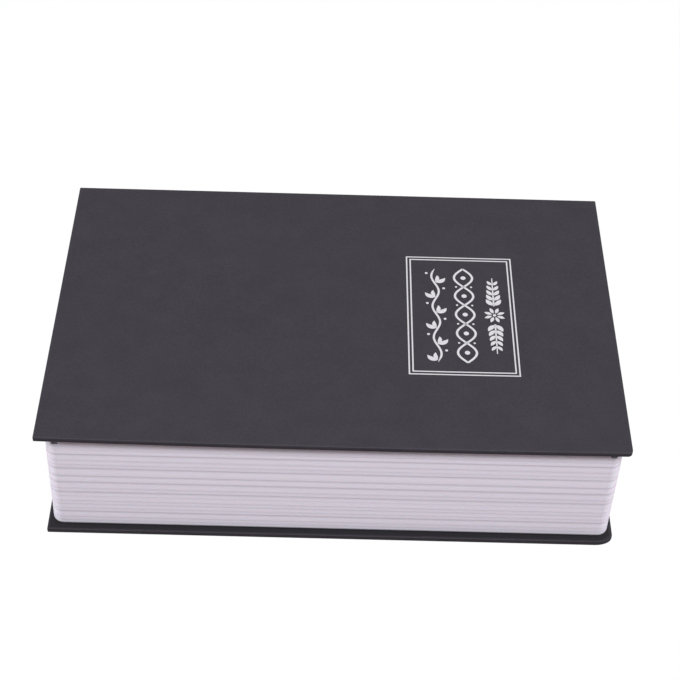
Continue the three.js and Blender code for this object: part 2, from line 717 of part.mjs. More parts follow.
/** The lock's hole: round, with two flats that keep the barrel from turning. */
function lockHole() {
  const round = cylinder(BARREL_RADIUS + BARREL_CLEARANCE, LID_UNDERSIDE - 1, LID_TOP + 1);
  const flat = BARREL_FLAT + BARREL_CLEARANCE;
  const far = BARREL_RADIUS * 2;
  return cut(
    round,
    block(flat, far, -far, far, LID_UNDERSIDE - 2, LID_TOP + 2),
    block(-far, -flat, -far, far, LID_UNDERSIDE - 2, LID_TOP + 2),
  ).translate(0, LOCK_Y, 0);
}

function steelLid() {
  const area = { ...inset(PAGES, RIM_WIDTH + LID_SIDE_CLEARANCE), y1: LID_REAR_Y };
  const outline = roundedOutline(area, LID_CORNER_RADIUS, 0);
  const plate = loft([ringAt(outline, 0, LID_UNDERSIDE), ringAt(outline, 0, LID_TOP)]);
  return piece('steel_lid', cut(join(plate, lidLips()), lockHole()), blackSteel);
}

// Cam lock, drawn about its own axis with z = 0 on the lid's outer face

/** Bezel and threaded barrel in one, bored for the plug, with two flats on the barrel. */
function lockBody() {
  const outside = turned([
    [0, -BARREL_LENGTH],
    [BARREL_RADIUS - BARREL_CHAMFER, -BARREL_LENGTH],
    [BARREL_RADIUS, -BARREL_LENGTH + BARREL_CHAMFER],
    [BARREL_RADIUS, GLUE_LINE],
    [BEZEL_RADIUS, GLUE_LINE],
    [BEZEL_RADIUS, BEZEL_HEIGHT / 2],
    [BEZEL_RADIUS - BEZEL_HEIGHT / 2, BEZEL_HEIGHT],
    [0, BEZEL_HEIGHT],
  ]);
  const far = BARREL_RADIUS * 2;
  const bottom = -BARREL_LENGTH - 1;
  return piece('lock_body', cut(
    outside,
    cylinder(PLUG_RADIUS + PLUG_CLEARANCE, bottom, BEZEL_HEIGHT + 1),
    block(BARREL_FLAT, far, -far, far, bottom, 0),
    block(-far, -BARREL_FLAT, -far, far, bottom, 0),
  ), chrome);
}

function ringWasher(innerRadius, outerRadius, thickness, steps = ROUND_STEPS) {
  return cut(cylinder(outerRadius, 0, thickness, steps), cylinder(innerRadius, -1, thickness + 1, steps));
}

function lockWasher() {
  const washer = piece('lock_washer', ringWasher(
    BARREL_RADIUS + BARREL_CLEARANCE, LOCK_WASHER_RADIUS, LOCK_WASHER_THICKNESS), zincSteel);
  washer.position.z = -LID_STEEL - SEAT_GAP - LOCK_WASHER_THICKNESS;
  return washer;
}

function lockNut() {
  const hexagon = cylinder(NUT_ACROSS_CORNERS_RADIUS, 0, NUT_THICKNESS, 6);
  const bore = cylinder(BARREL_RADIUS + BARREL_CLEARANCE, -1, NUT_THICKNESS + 1);
  const nut = piece('lock_nut', cut(hexagon, bore), zincSteel);
  nut.position.z = -LID_STEEL - LOCK_WASHER_THICKNESS - 2 * SEAT_GAP - NUT_THICKNESS;
  return nut;
}

/** The turning plug: keyway at the top, shoulder under the barrel, square tang for the cam. */
function lockPlug() {
  const top = BEZEL_HEIGHT - PLUG_RECESS;
  const shoulderTop = -BARREL_LENGTH - REST_GAP;
  const shank = turned([
    [0, CAM_TOP],
    [PLUG_SHOULDER_RADIUS, CAM_TOP],
    [PLUG_SHOULDER_RADIUS, shoulderTop],
    [PLUG_RADIUS, shoulderTop],
    [PLUG_RADIUS, top - PLUG_CHAMFER],
    [PLUG_RADIUS - PLUG_CHAMFER, top],
    [0, top],
  ]);
  const half = TANG_SIZE / 2;
  const tang = block(-half, half, -half, half, TANG_END, CAM_TOP + PLUG_SHOULDER_LENGTH / 2);
  const keyway = block(
    -KEYWAY_WIDTH / 2, KEYWAY_WIDTH / 2, -KEYWAY_HEIGHT / 2, KEYWAY_HEIGHT / 2, top - KEYWAY_DEPTH, top + 1);
  const ward = block(
    0, KEYWAY_WIDTH,
    -KEYWAY_HEIGHT / 2 + KEYWAY_WIDTH, -KEYWAY_WIDTH / 2,
    top - KEYWAY_DEPTH, top + 1,
  );
  const screwHole = cylinder(
    CAM_SCREW_SHANK_RADIUS + SCREW_HOLE_CLEARANCE, TANG_END - 1, TANG_END + CAM_SCREW_LENGTH, PIN_STEPS);
  return piece('lock_plug', cut(join(shank, tang), keyway, ward, screwHole), chrome);
}

/** The cam: a hub round the tang and a tapering arm, pointing along -X while unlocked. */
function lockCam() {
  const half = CAM_TIP_WIDTH / 2;
  const round = Math.min(CAM_TIP_ROUNDING, half);
  const outline = new THREE.Shape();
  outline.absarc(0, 0, CAM_HUB_RADIUS, Math.PI * 1.35, Math.PI * 0.65, false);
  outline.lineTo(-CAM_REACH + round, half);
  outline.absarc(-CAM_REACH + round, half - round, round, Math.PI / 2, Math.PI, false);
  outline.absarc(-CAM_REACH + round, -half + round, round, Math.PI, Math.PI * 1.5, false);
  const hole = TANG_SIZE / 2 + REST_GAP;
  const arm = new THREE.ExtrudeGeometry(outline, {
    depth: CAM_THICKNESS - 2 * SEAT_GAP, bevelEnabled: false, curveSegments: 2 * CORNER_STEPS,
  });
  const square = block(-hole, hole, -hole, hole, -1, CAM_THICKNESS + 1);
  const cam = piece('lock_cam', cut(arm, square), zincSteel);
  cam.position.z = TANG_END + SEAT_GAP;
  return cam;
}

function camWasher() {
  const washer = piece('cam_washer', ringWasher(
    CAM_SCREW_SHANK_RADIUS + SCREW_HOLE_CLEARANCE,
    CAM_WASHER_RADIUS,
    CAM_WASHER_THICKNESS,
    PIN_STEPS,
  ), zincSteel);
  washer.position.z = TANG_END - SEAT_GAP - CAM_WASHER_THICKNESS;
  return washer;
}

function camScrew() {
  const screw = piece('cam_screw', panHeadScrew(
    CAM_SCREW_SHANK_RADIUS, CAM_SCREW_LENGTH, CAM_SCREW_HEAD_RADIUS, CAM_SCREW_HEAD_HEIGHT), zincSteel);
  screw.rotation.x = Math.PI;
  screw.position.z = TANG_END - 2 * SEAT_GAP - CAM_WASHER_THICKNESS;
  return screw;
}

function camLock() {
  const lock = new THREE.Group();
  lock.position.set(0, LOCK_Y, LID_TOP);
  lock.add(lockBody(), lockWasher(), lockNut(), lockPlug(), lockCam(), camWasher(), camScrew());
  return lock;
}

const bookSafe = new THREE.Group();
bookSafe.add(
  backCover(),
  spine(),
  frontJoint(),
  frontCover(),
  pageFrame(),
  steelTray(),
  ...trayScrews(),
  strikeBracket(),
  steelLid(),
  atHinge('left', fixedLeaf('left'), movingLeaf('left'), hingePin('left')),
  atHinge('right', fixedLeaf('right'), movingLeaf('right'), hingePin('right')),
  camLock(),
);

export default bookSafe;
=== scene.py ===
"""Looks for a book diversion safe: a hardback case, a moulded page block and a locking box."""
import json
import math

import bpy
import numpy as np
from bpy.props import FloatProperty, FloatVectorProperty, PointerProperty
from mathutils import Matrix, Vector


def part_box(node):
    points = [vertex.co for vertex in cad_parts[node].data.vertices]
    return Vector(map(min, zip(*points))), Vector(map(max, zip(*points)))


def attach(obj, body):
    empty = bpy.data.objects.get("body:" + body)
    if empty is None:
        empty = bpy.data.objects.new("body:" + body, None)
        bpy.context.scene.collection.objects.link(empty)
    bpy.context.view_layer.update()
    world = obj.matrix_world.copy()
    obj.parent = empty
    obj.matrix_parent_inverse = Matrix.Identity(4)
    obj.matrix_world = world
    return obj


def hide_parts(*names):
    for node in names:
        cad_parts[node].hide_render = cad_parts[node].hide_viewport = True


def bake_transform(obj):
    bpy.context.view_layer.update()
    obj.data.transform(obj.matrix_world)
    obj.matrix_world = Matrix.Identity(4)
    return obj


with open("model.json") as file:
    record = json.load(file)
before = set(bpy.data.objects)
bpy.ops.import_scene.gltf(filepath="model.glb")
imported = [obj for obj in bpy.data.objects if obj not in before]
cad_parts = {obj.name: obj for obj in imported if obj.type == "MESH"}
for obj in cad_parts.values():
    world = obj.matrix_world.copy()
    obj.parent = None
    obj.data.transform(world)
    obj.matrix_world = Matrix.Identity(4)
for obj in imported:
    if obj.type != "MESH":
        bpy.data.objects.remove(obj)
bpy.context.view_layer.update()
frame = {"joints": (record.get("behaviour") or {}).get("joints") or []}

bl_info = {
    "name": "Book Diversion Safe",
    "version": (1, 0, 0),
    "blender": (4, 5, 0),
    "location": "View3D > Sidebar > Book Safe",
    "description": "Dresses the safe: case, page block, steel box, cam lock and stage",
    "category": "Add Mesh",
}

MM = 0.001
SENSOR = 36.0


def area_of(node):
    """A node's lowest and highest x, then y, as (x0, x1, y0, y1)."""
    low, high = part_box(node)
    return low.x, high.x, low.y, high.y


def levels_of(node):
    """A node's lowest and highest z."""
    low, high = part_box(node)
    return low.z, high.z


def half_width(node):
    """Half of a node's size along x."""
    x0, x1, _, _ = area_of(node)
    return (x1 - x0) / 2


def axis_of(joint):
    """The point of the object that a joint turns about."""
    return next(row for row in frame["joints"] if row["name"] == joint)["pos_m"]


def length_property(name, description, millimetres):
    """A size that the user may change, given in millimetres and kept in metres."""
    return FloatProperty(
        name=name, description=description, default=millimetres * MM,
        min=0.0, unit="LENGTH", precision=5)


def colour_property(name, description, colour):
    """A colour that the user may change."""
    return FloatVectorProperty(
        name=name, description=description, default=colour,
        min=0.0, max=1.0, size=3, subtype="COLOR")


def share_property(name, description, default, highest=1.0):
    """A plain number that the user may change, from 0 to the highest."""
    return FloatProperty(
        name=name, description=description, default=default, min=0.0, max=highest, precision=3)


class BookCaseSettings(bpy.types.PropertyGroup):
    """Sizes and colours of the hardback case."""

    sheet: length_property("Covering sheet", "Thickness of the leatherette paper", 0.3)
    turn_in: length_property("Turn-in", "How far the sheet folds round inside a board", 5.0)
    edge_radius: length_property("Board edge", "Rounding of the wrapped edges of the covers", 0.42)
    spine_edge_radius: length_property(
        "Spine edge", "Rounding of the wrapped edges of the spine", 0.42)
    corner_radius: length_property(
        "Cover corner", "Rounding of a sound corner, seen from above", 0.5)
    worn_corner_radius: length_property(
        "Worn corner", "Rounding of the back cover's crushed corner", 4.4)
    worn_corner_length: length_property(
        "Worn length", "Length of that rounding along the fore-edge", 7.6)
    bumped_corner_radius: length_property(
        "Bumped corner", "Rounding of the front cover's blunt corner", 2.0)
    fore_edge_lift: length_property(
        "Lift", "How far the middle of the cover's fore-edge stands up", 0.4)
    tail_lift: length_property("Tail lift", "How far the fore-edge's tail corner stands up", 1.55)
    head_lift: length_property("Head lift", "How far the fore-edge's head corner stands up", 0.95)
    sheet_colour: colour_property(
        "Leatherette", "Charcoal of the covering sheet", (0.0294, 0.0261, 0.0339))
    paper_colour: colour_property("Endpaper", "Off-white of the pasted papers", (0.74, 0.71, 0.66))
    board_colour: colour_property("Board", "Grey of the raw binder's board", (0.27, 0.25, 0.23))


class FoilSettings(bpy.types.PropertyGroup):
    """The stamped silver panel on the front cover."""

    line: length_property("Line", "Width of the two frame lines", 0.62)
    stroke: length_property("Stroke", "Width of the widest ornament strokes", 1.0)
    height: length_property("Height", "How far the foil stands above the sheet", 0.012)
    colour: colour_property("Foil", "Silver of the stamping foil", (0.72, 0.71, 0.745))


class PageBlockSettings(bpy.types.PropertyGroup):
    """The moulded block that looks like page edges."""

    wall: length_property("Wall", "Thickness of the page walls", 1.8)
    rim: length_property("Rim", "Width of the rim round the steel box", 5.5)
    skirt: length_property("Skirt", "Depth of the skirt inside the rim", 8.0)
    groove_width: length_property("Groove", "Half width of a groove between page bundles", 0.26)
    corner_radius: length_property("Corner", "Rounding of the fore-edge corners", 5.0)
    colour: colour_property("Plastic", "Faintly lilac white of the moulding", (0.785, 0.755, 0.86))


class SteelBoxSettings(bpy.types.PropertyGroup):
    """The steel box, its lid and its hinges."""

    box_steel: length_property("Box steel", "Thickness of the folded box", 1.0)
    lid_steel: length_property("Lid steel", "Thickness of the lid", 1.2)
    bend_radius: length_property("Bend", "Outer radius of the folded edges", 1.6)
    corner_radius: length_property("Corner", "Outer radius of the upright corners", 2.4)
    flange: length_property("Flange", "Width of the flange round the opening", 6.0)
    lip: length_property("Lip", "Depth of the lips under the lid", 5.0)
    coat_colour: colour_property("Powder coat", "Black of the coated steel", (0.014, 0.014, 0.015))
    zinc_colour: colour_property("Zinc", "Bright zinc plate of the fittings", (0.56, 0.57, 0.59))


class CamLockSettings(bpy.types.PropertyGroup):
    """The key cam lock."""

    bezel_radius: length_property("Bezel", "Radius of the lock's head", 9.5)
    barrel_radius: length_property("Barrel", "Radius of the threaded barrel", 7.8)
    barrel_flat: length_property("Flat", "Distance of the barrel's flats from its axis", 6.6)
    thread_pitch: length_property("Thread pitch", "Pitch of the barrel's thread", 1.25)
    plug_radius: length_property("Plug", "Radius of the turning plug", 5.1)
    keyway_width: length_property("Keyway width", "Width of the key's slot", 1.3)
    keyway_height: length_property("Keyway height", "Height of the key's slot", 6.8)
    keyway_depth: length_property("Keyway depth", "Depth of the key's slot", 13.0)
    chrome_colour: colour_property("Chrome", "Nickel-chrome plate", (0.68, 0.69, 0.70))


class StageSettings(bpy.types.PropertyGroup):
    """Camera, floor and lamps."""

    lens: FloatProperty(name="Lens", description="Focal length in millimetres", default=87.403)
    distance: FloatProperty(
        name="Distance", description="From the camera to its target", default=0.72647,
        unit="LENGTH")
    elevation: FloatProperty(
        name="Elevation", description="Height of the camera as an angle",
        default=math.radians(45.322), subtype="ANGLE")
    azimuth: FloatProperty(
        name="Azimuth", description="Turn of the camera about the object",
        default=math.radians(-0.817), subtype="ANGLE")
    roll: FloatProperty(
        name="Roll", description="Turn of the camera about its line of sight",
        default=math.radians(2.035), subtype="ANGLE")
    key_level: share_property(
        "Key light", "Light of the key lamp on a face turned to it", 1.16, 4.0)
    left_level: share_property(
        "Left light", "Light of the left lamp on a face turned to it", 0.7, 4.0)
    right_level: share_property(
        "Right light", "Light of the right lamp on a face turned to it", 0.6, 4.0)
    sky_level: share_property("Sky light", "Light of the surrounding white room", 0.17, 4.0)
    floor_tone: share_property("Floor", "White of the floor where it is seen", 1.0)
    floor_glow: colour_property(
        "Floor glow", "Light that the floor sends back up", (0.26, 0.21, 0.21))
    shadow_share: share_property("Shadow", "How much of the object's shadow the floor shows", 0.06)


SETTINGS = {
    "book_case": BookCaseSettings,
    "cover_foil": FoilSettings,
    "page_block": PageBlockSettings,
    "steel_box": SteelBoxSettings,
    "cam_lock": CamLockSettings,
    "safe_stage": StageSettings,
}


# Closed surfaces. A shape is (points, quads, marks): an array of points, an array of four point
# numbers for each face, and one number per point for wear, painted highlight and painted shade.

WELD_DECIMALS = 7
TINY = 1e-9
CREASE_ANGLE = math.radians(32)


def ramp(low, high, value):
    """0 below low, 1 above high, and 3t^2 - 2t^3 between them."""
    t = np.clip((value - low) / (high - low), 0, 1)
    return t * t * (3 - 2 * t)


def grid_quads(rows, columns, rows_close):
    """Quads between each point of a grid and its neighbours; the columns close on themselves."""
    row, column = np.meshgrid(
        np.arange(rows if rows_close else rows - 1), np.arange(columns), indexing="ij")
    after = (row + 1) % rows * columns
    beside = (column + 1) % columns
    corners = (row * columns + column, row * columns + beside, after + beside, after + column)
    return np.stack(corners, -1).reshape(-1, 4)


def volume_inside(points, quads):
    """Signed volume: a sixth of a . (b x c) + a . (c x d), summed over the quads abcd."""
    a, b, c, d = (points[quads[:, corner]] for corner in range(4))
    return (a * (np.cross(b, c) + np.cross(c, d))).sum() / 6


def closed_surface(grid, rows_close=False, marks=None):
    """A shape from rows of points. Each row closes on itself; the first and last row are a point or
    a line, unless the rows close too. Faces are turned so that the volume inside is positive."""
    grid = np.asarray(grid, float)
    points = grid.reshape(-1, 3)
    quads = grid_quads(grid.shape[0], grid.shape[1], rows_close)
    if volume_inside(points - points.mean(axis=0), quads) < 0:
        quads = quads[:, ::-1]
    marks = np.zeros(len(points)) if marks is None else np.broadcast_to(
        marks, grid.shape[:2]).reshape(-1).astype(float)
    return points, quads, marks


def together(*shapes):
    """One shape that holds several, each with its own closed surface."""
    starts = np.cumsum([0] + [len(points) for points, _, _ in shapes[:-1]])
    return (
        np.concatenate([points for points, _, _ in shapes]),
        np.concatenate([quads + start for (_, quads, _), start in zip(shapes, starts)]),
        np.concatenate([marks for _, _, marks in shapes]),
    )


def moved(shape, place=(0, 0, 0), basis=None):
    """The shape with its own x, y and z laid along the rows of basis, then carried to a place."""
    points, quads, marks = shape
    if basis is not None:
        basis = np.asarray(basis, float)
        points = points @ basis
        if np.linalg.det(basis) < 0:
            quads = quads[:, ::-1]
    return points + np.asarray(place, float), quads, marks


def welded(points, quads):
    """Merges points that coincide. A quad that loses a corner becomes a triangle, or goes."""
    _, first, same = np.unique(
        np.round(points, WELD_DECIMALS), axis=0, return_index=True, return_inverse=True)
    quads = same.reshape(-1)[quads]
    doubled = quads == np.roll(quads, -1, axis=1)
    crossed = (quads[:, 0] == quads[:, 2]) | (quads[:, 1] == quads[:, 3])
    whole = quads[~doubled.any(axis=1) & ~crossed]
    thin = (doubled.sum(axis=1) == 1) & ~crossed
    keep = (doubled[thin].argmax(axis=1)[:, None] + np.arange(1, 4)) % 4
    return first, whole, np.take_along_axis(quads[thin], keep, axis=1)


def add_piece(name, shape, slot, replaces=(), body=None, finish=None):
    """Puts a shape into a mesh object at the origin, smooth but for its creases. Its finish is
    the slot's own unless another is named."""
    points, quads, marks = shape
    first, whole, triangles = welded(points, quads)
    mesh = bpy.data.meshes.new(name)
    mesh.vertices.add(len(first))
    mesh.vertices.foreach_set("co", points[first].astype(np.float32).ravel())
    corners = np.concatenate([whole.ravel(), triangles.ravel()]).astype(np.int32)
    mesh.loops.add(len(corners))
    mesh.loops.foreach_set("vertex_index", corners)
    starts = np.concatenate([
        np.arange(len(whole)) * 4, len(whole) * 4 + np.arange(len(triangles)) * 3])
    mesh.polygons.add(len(starts))
    mesh.polygons.foreach_set("loop_start", starts.astype(np.int32))
    mesh.update(calc_edges=True)
    if mesh.validate():
        raise RuntimeError(f"{name} has faces that Blender had to repair")
    mesh.polygons.foreach_set("use_smooth", np.ones(len(starts), bool))
    mesh.set_sharp_from_angle(angle=CREASE_ANGLE)
    mark = mesh.attributes.new("mark", "FLOAT", "POINT")
    mark.data.foreach_set("value", marks[first].astype(np.float32))
    mesh.materials.append(finish_of(finish or slot))
    piece = bpy.data.objects.new(name, mesh)
    bpy.context.scene.collection.objects.link(piece)
    if body is not None:
        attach(piece, body)
    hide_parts(*replaces)
    return piece


# Places round a rounded rectangle, in eight stretches: a side, then the corner after it, four
# times, anticlockwise from the side at the highest x.

INWARD = np.array([(-1, -1), (1, -1), (1, 1), (-1, 1)])
QUARTER = math.pi / 2


def places_round(long_steps, short_steps, corner_steps, extra=()):
    """Stretch number and share of the stretch, one row for each place. Extra places are added
    to the even ones, and all are in order round the outline."""
    counts = (short_steps, corner_steps, long_steps, corner_steps) * 2
    even = [
        np.column_stack([np.full(count, stretch), np.arange(count) / count])
        for stretch, count in enumerate(counts)]
    return np.unique(np.concatenate([*even, *extra]), axis=0)


def shrunk(area, inset):
    """An area drawn in by a distance, down to its middle line at the most."""
    x0, x1, y0, y1 = area
    inset = min(inset, (x1 - x0) / 2, (y1 - y0) / 2)
    return x0 + inset, x1 - inset, y0 + inset, y1 - inset


def outline(places, area, radii):
    """Points and outward directions round a rounded rectangle. A corner's points are its centre
    + radius (cos, sin); a side runs straight from one corner's end to the next one's start."""
    x0, x1, y0, y1 = area
    radii = np.broadcast_to(radii, 4).astype(float)
    corners = np.array([(x1, y1), (x0, y1), (x0, y0), (x1, y0)])
    centres = corners + INWARD * radii[:, None]
    stretch = places[:, 0].astype(int)
    share = places[:, 1:]
    index = stretch // 2
    on_corner = stretch[:, None] % 2 == 1
    turn = (index[:, None] + np.where(on_corner, share, 0)) * QUARTER
    outward = np.concatenate([np.cos(turn), np.sin(turn)], axis=1)
    quarters = np.arange(5) * QUARTER
    around = np.column_stack([np.cos(quarters), np.sin(quarters)])
    starts = centres + radii[:, None] * around[:4]
    ends = centres + radii[:, None] * around[1:]
    side = (1 - share) * ends[index - 1] + share * starts[index]
    corner = centres[index] + radii[index, None] * outward
    return np.where(on_corner, corner, side), outward


def level(places, area, radii, z):
    """One row of points: a rounded rectangle at one height."""
    flat, _ = outline(places, area, radii)
    return np.column_stack([flat, np.full(len(flat), z)])


def inset_rows(places, area, radii, profile):
    """A row for each (inset, z) of a profile: the area and its corners' radii drawn in by it."""
    return np.stack([
        level(places, shrunk(area, inset), np.maximum(np.asarray(radii, float) - inset, 0), z)
        for inset, z in profile])


def edge_arc(radius, inset, z, start, end, steps=5):
    """Profile points on a quarter round about (inset, z), from one angle to another in degrees;
    0 points outward and 90 up."""
    angles = np.radians(np.linspace(start, end, steps + 1))
    return [(inset - radius * math.cos(a), z + radius * math.sin(a)) for a in angles]


def side_arcs(edge, low, high, steps=5):
    """Profile points up a slab's side: its lower edge rounded, then its upper one."""
    return [
        *edge_arc(edge, edge, low + edge, -90, 0, steps),
        *edge_arc(edge, edge, high - edge, 0, 90, steps)]


def spaced(start, end, steps):
    """Numbers from start to end in even steps, both ends included."""
    return list(np.linspace(start, end, steps + 1))


# Turned pieces and pieces drawn round an axis

def all_round(count, extra=()):
    """Angles once round an axis, evenly spaced, with extra ones where an outline has a corner."""
    return np.unique(np.round(np.concatenate([
        np.arange(count) / count * 2 * math.pi, np.asarray(extra, float) % (2 * math.pi)]), 9))


def round_rows(profile, angle):
    """Rows of a solid of revolution from (radius, z) pairs: (r cos a, r sin a, z)."""
    radius, z = (np.array(values)[:, None] for values in zip(*profile))
    return star_row(angle, radius, z)


def turned(profile, columns):
    """A closed solid of revolution: its profile starts and ends on the axis."""
    return closed_surface(round_rows(profile, all_round(columns)))


def bored(profile, columns):
    """A closed ring of revolution: its profile closes on itself."""
    return closed_surface(round_rows(profile, all_round(columns)), rows_close=True)


def star_row(angle, radius, z):
    """Points (r cos a, r sin a, z), r for each angle: a row, or one for each z of a column."""
    x, y = radius * np.cos(angle), radius * np.sin(angle)
    return np.stack([x, y, np.broadcast_to(z, x.shape)], -1)


def box_reach(half_x, half_y):
    """Distance from the middle of a rectangle to its edge, by angle."""
    def reach(angle):
        cosine = np.maximum(np.abs(np.cos(angle)), TINY)
        sine = np.maximum(np.abs(np.sin(angle)), TINY)
        return np.minimum(half_x / cosine, half_y / sine)
    return reach


def polygon_reach(inner_radius, sides, turn=0.0):
    """Distance from the middle of a regular polygon to its edge: inner radius / cos of the angle
    from the nearest side's middle."""
    def reach(angle):
        part = 2 * math.pi / sides
        return inner_radius / np.cos((angle - turn + part / 2) % part - part / 2)
    return reach


def directions(path):
    """Unit vectors along a flat path, and those a quarter turn to the left of them."""
    along = np.gradient(path, axis=0)
    along /= np.linalg.norm(along, axis=1)[:, None]
    return along, np.column_stack([-along[:, 1], along[:, 0]])


def bar_along(path, width, thickness, rounding):
    """A flat bar carried along a path of (y, z) points, its width along x: at each path point the
    section's corners are path + half thickness * normal, with the edges rounded off."""
    path = np.asarray(path, float)
    along, normal = directions(path)
    angle = (np.arange(4)[:, None] + np.linspace(0, 1, 4)) * QUARTER
    across = np.where(np.cos(angle.mean(axis=1)) > 0, 1, -1)[:, None] * (width / 2 - rounding)
    through = np.where(np.sin(angle.mean(axis=1)) > 0, 1, -1)[:, None] * (thickness / 2 - rounding)
    section_x = (across + rounding * np.cos(angle)).ravel()
    section_t = (through + rounding * np.sin(angle)).ravel()
    body = np.stack([
        np.broadcast_to(section_x, (len(path), len(section_x))),
        path[:, :1] + normal[:, :1] * section_t,
        path[:, 1:] + normal[:, 1:] * section_t,
    ], -1)
    caps = []
    for end, sign in ((0, -1), (-1, 1)):
        tip = path[end] + along[end] * rounding * sign
        inner = 1 - 2 * rounding / thickness
        flat = np.stack([
            section_x * (1 - 2 * rounding / width),
            tip[0] + normal[end, 0] * section_t * inner,
            tip[1] + normal[end, 1] * section_t * inner,
        ], -1)
        middle = np.array([0 * section_x, tip[0] + 0 * section_x, tip[1] + 0 * section_x]).T
        caps.append((flat, middle))
    (flat0, middle0), (flat1, middle1) = caps
    return closed_surface(np.concatenate([[middle0, flat0], body, [flat1, middle1]]))


# Finishes. Patterns lie on Object coordinates, in metres, so they keep their scale on every piece.

class Finish:
    """A material while its nodes are being laid out."""

    def __init__(self, name, **sockets):
        self.material = bpy.data.materials.new(name)
        self.material.use_nodes = True
        self.tree = self.material.node_tree
        self.shader = self.tree.nodes["Principled BSDF"]
        self.where = self.tree.nodes.new("ShaderNodeTexCoord").outputs["Object"]
        for socket, value in sockets.items():
            self.feed(self.shader.inputs[socket.replace("_", " ")], value)

    def feed(self, socket, value):
        """Links a socket, or sets it; three numbers become a colour where the socket wants one."""
        if isinstance(value, bpy.types.NodeSocket):
            self.tree.links.new(value, socket)
        elif socket.type == "RGBA" and len(value) == 3:
            socket.default_value = (*value, 1.0)
        else:
            socket.default_value = value

    def node(self, kind, inputs, **settings):
        """Adds a node, with its settings set and its inputs set or linked."""
        made = self.tree.nodes.new(kind)
        for setting, value in settings.items():
            setattr(made, setting, value)
        for socket, value in inputs.items():
            self.feed(made.inputs[socket], value)
        return made

    def stretched(self, scale):
        """Object coordinates multiplied by a scale along x, y and z."""
        return self.node("ShaderNodeMapping", {"Vector": self.where, "Scale": scale}).outputs[0]

    def noise(self, per_metre, detail=2.0, roughness=0.5, vector=None):
        """Soft noise from 0 to 1, with so many waves to a metre."""
        return self.node("ShaderNodeTexNoise", {
            "Vector": vector or self.where, "Scale": per_metre,
            "Detail": detail, "Roughness": roughness}).outputs[0]

    def cells(self, per_metre, smoothness=0.6):
        """Distance to the nearest of scattered points, which reads as pebbled grain."""
        return self.node("ShaderNodeTexVoronoi", {
            "Vector": self.where, "Scale": per_metre, "Smoothness": smoothness},
            feature="SMOOTH_F1").outputs["Distance"]

    def mark(self):
        """The piece's own mark attribute: how worn each place is, and where it gets painted shade
        and highlight.
        """
        return self.node("ShaderNodeAttribute", {}, attribute_name="mark").outputs["Fac"]

    def span(self, value, low, high, to_low, to_high):
        """The value carried from one span to another, and held at its ends."""
        return self.node("ShaderNodeMapRange", {
            "Value": value, "From Min": low, "From Max": high,
            "To Min": to_low, "To Max": to_high}).outputs[0]

    def sum(self, first, second, share=1.0):
        """first + share * second."""
        return self.node(
            "ShaderNodeMath", {0: second, 1: share, 2: first}, operation="MULTIPLY_ADD").outputs[0]

    def mix(self, factor, first, second):
        """A colour between two."""
        return self.node(
            "ShaderNodeMix", {0: factor, 6: first, 7: second}, data_type="RGBA").outputs[2]

    def mix_shader(self, factor, first, second):
        """A shader between two."""
        return self.node("ShaderNodeMixShader", {0: factor, 1: first, 2: second}).outputs[0]

    def bump(self, height, depth, strength=1.0):
        """Makes the surface stand up by depth metres where the height is 1."""
        made = self.node("ShaderNodeBump", {
            "Height": height, "Distance": depth, "Strength": strength})
        self.feed(self.shader.inputs["Normal"], made.outputs[0])

    def set(self, socket, value):
        """Sets or links one of the shader's sockets."""
        self.feed(self.shader.inputs[socket], value)


def toned(colour, factor):
    """A colour made lighter or darker, kept within 0 to 1."""
    return tuple(min(1.0, channel * factor) for channel in colour)


def leatherette(name):
    """Matt charcoal paper with a fine pebbled grain and a faint mottle: paler where its mark says
    that it is rubbed, with a painted edge highlight (1), darker with painted shade inside a cover
    (-1), and nearly black in the pages' painted contact shadow (-2)."""
    case = bpy.context.scene.book_case
    colour = tuple(case.sheet_colour)
    made = Finish(name, Specular_IOR_Level=0.2)
    mottle = made.sum(made.noise(1300, 2), made.noise(90, 3), 0.7)
    body = made.mix(made.span(mottle, 0.55, 1.15, 0, 1), toned(colour, 0.84), toned(colour, 1.17))
    # Paler where rubbed: real wear on the rounded edges, with a painted highlight along them.
    rub_highlight_share = made.span(made.sum(made.mark(), made.noise(700, 3), 0.5), 0.55, 1.45, 0, 0.16)
    rub_highlight_colour = made.mix(rub_highlight_share, body, toned(colour, 2.3))
    # Painted shade where the mark is below 0: inside the cover, and nearly black in the pages'
    # painted contact shadow.
    made.set("Base Color", made.mix(
        made.span(made.mark(), -1.2, 0, 0.95, 0), rub_highlight_colour, toned(colour, 0.1)))
    made.set("Roughness", made.span(made.noise(900, 2), 0.3, 0.7, 0.56, 0.70))
    grain = made.sum(made.cells(1900), made.noise(5200, 2), 0.35)
    made.bump(grain, 0.00007, 0.5)
    return made.material


def endpaper(name):
    """Uncoated off-white paper: short fibres as stretched noise, and a soft cloud."""
    colour = tuple(bpy.context.scene.book_case.paper_colour)
    made = Finish(name, Specular_IOR_Level=0.2, Roughness=0.85)
    fibres = made.noise(1.0, 3, vector=made.stretched((900, 3600, 900)))
    cloud = made.sum(fibres, made.noise(45, 2), 0.6)
    made.set("Base Color", made.mix(
        made.span(cloud, 0.5, 1.15, 0, 1), toned(colour, 0.93), toned(colour, 1.03)))
    made.bump(fibres, 0.00004, 0.5)
    return made.material


def binders_board(name):
    """Raw grey board with flecks of pulp."""
    colour = tuple(bpy.context.scene.book_case.board_colour)
    made = Finish(name, Specular_IOR_Level=0.15, Roughness=0.95)
    flecks = made.noise(1600, 4, 0.7)
    made.set("Base Color", made.mix(
        made.span(flecks, 0.35, 0.7, 0, 1), toned(colour, 0.75), toned(colour, 1.25)))
    made.bump(flecks, 0.0001, 0.6)
    return made.material


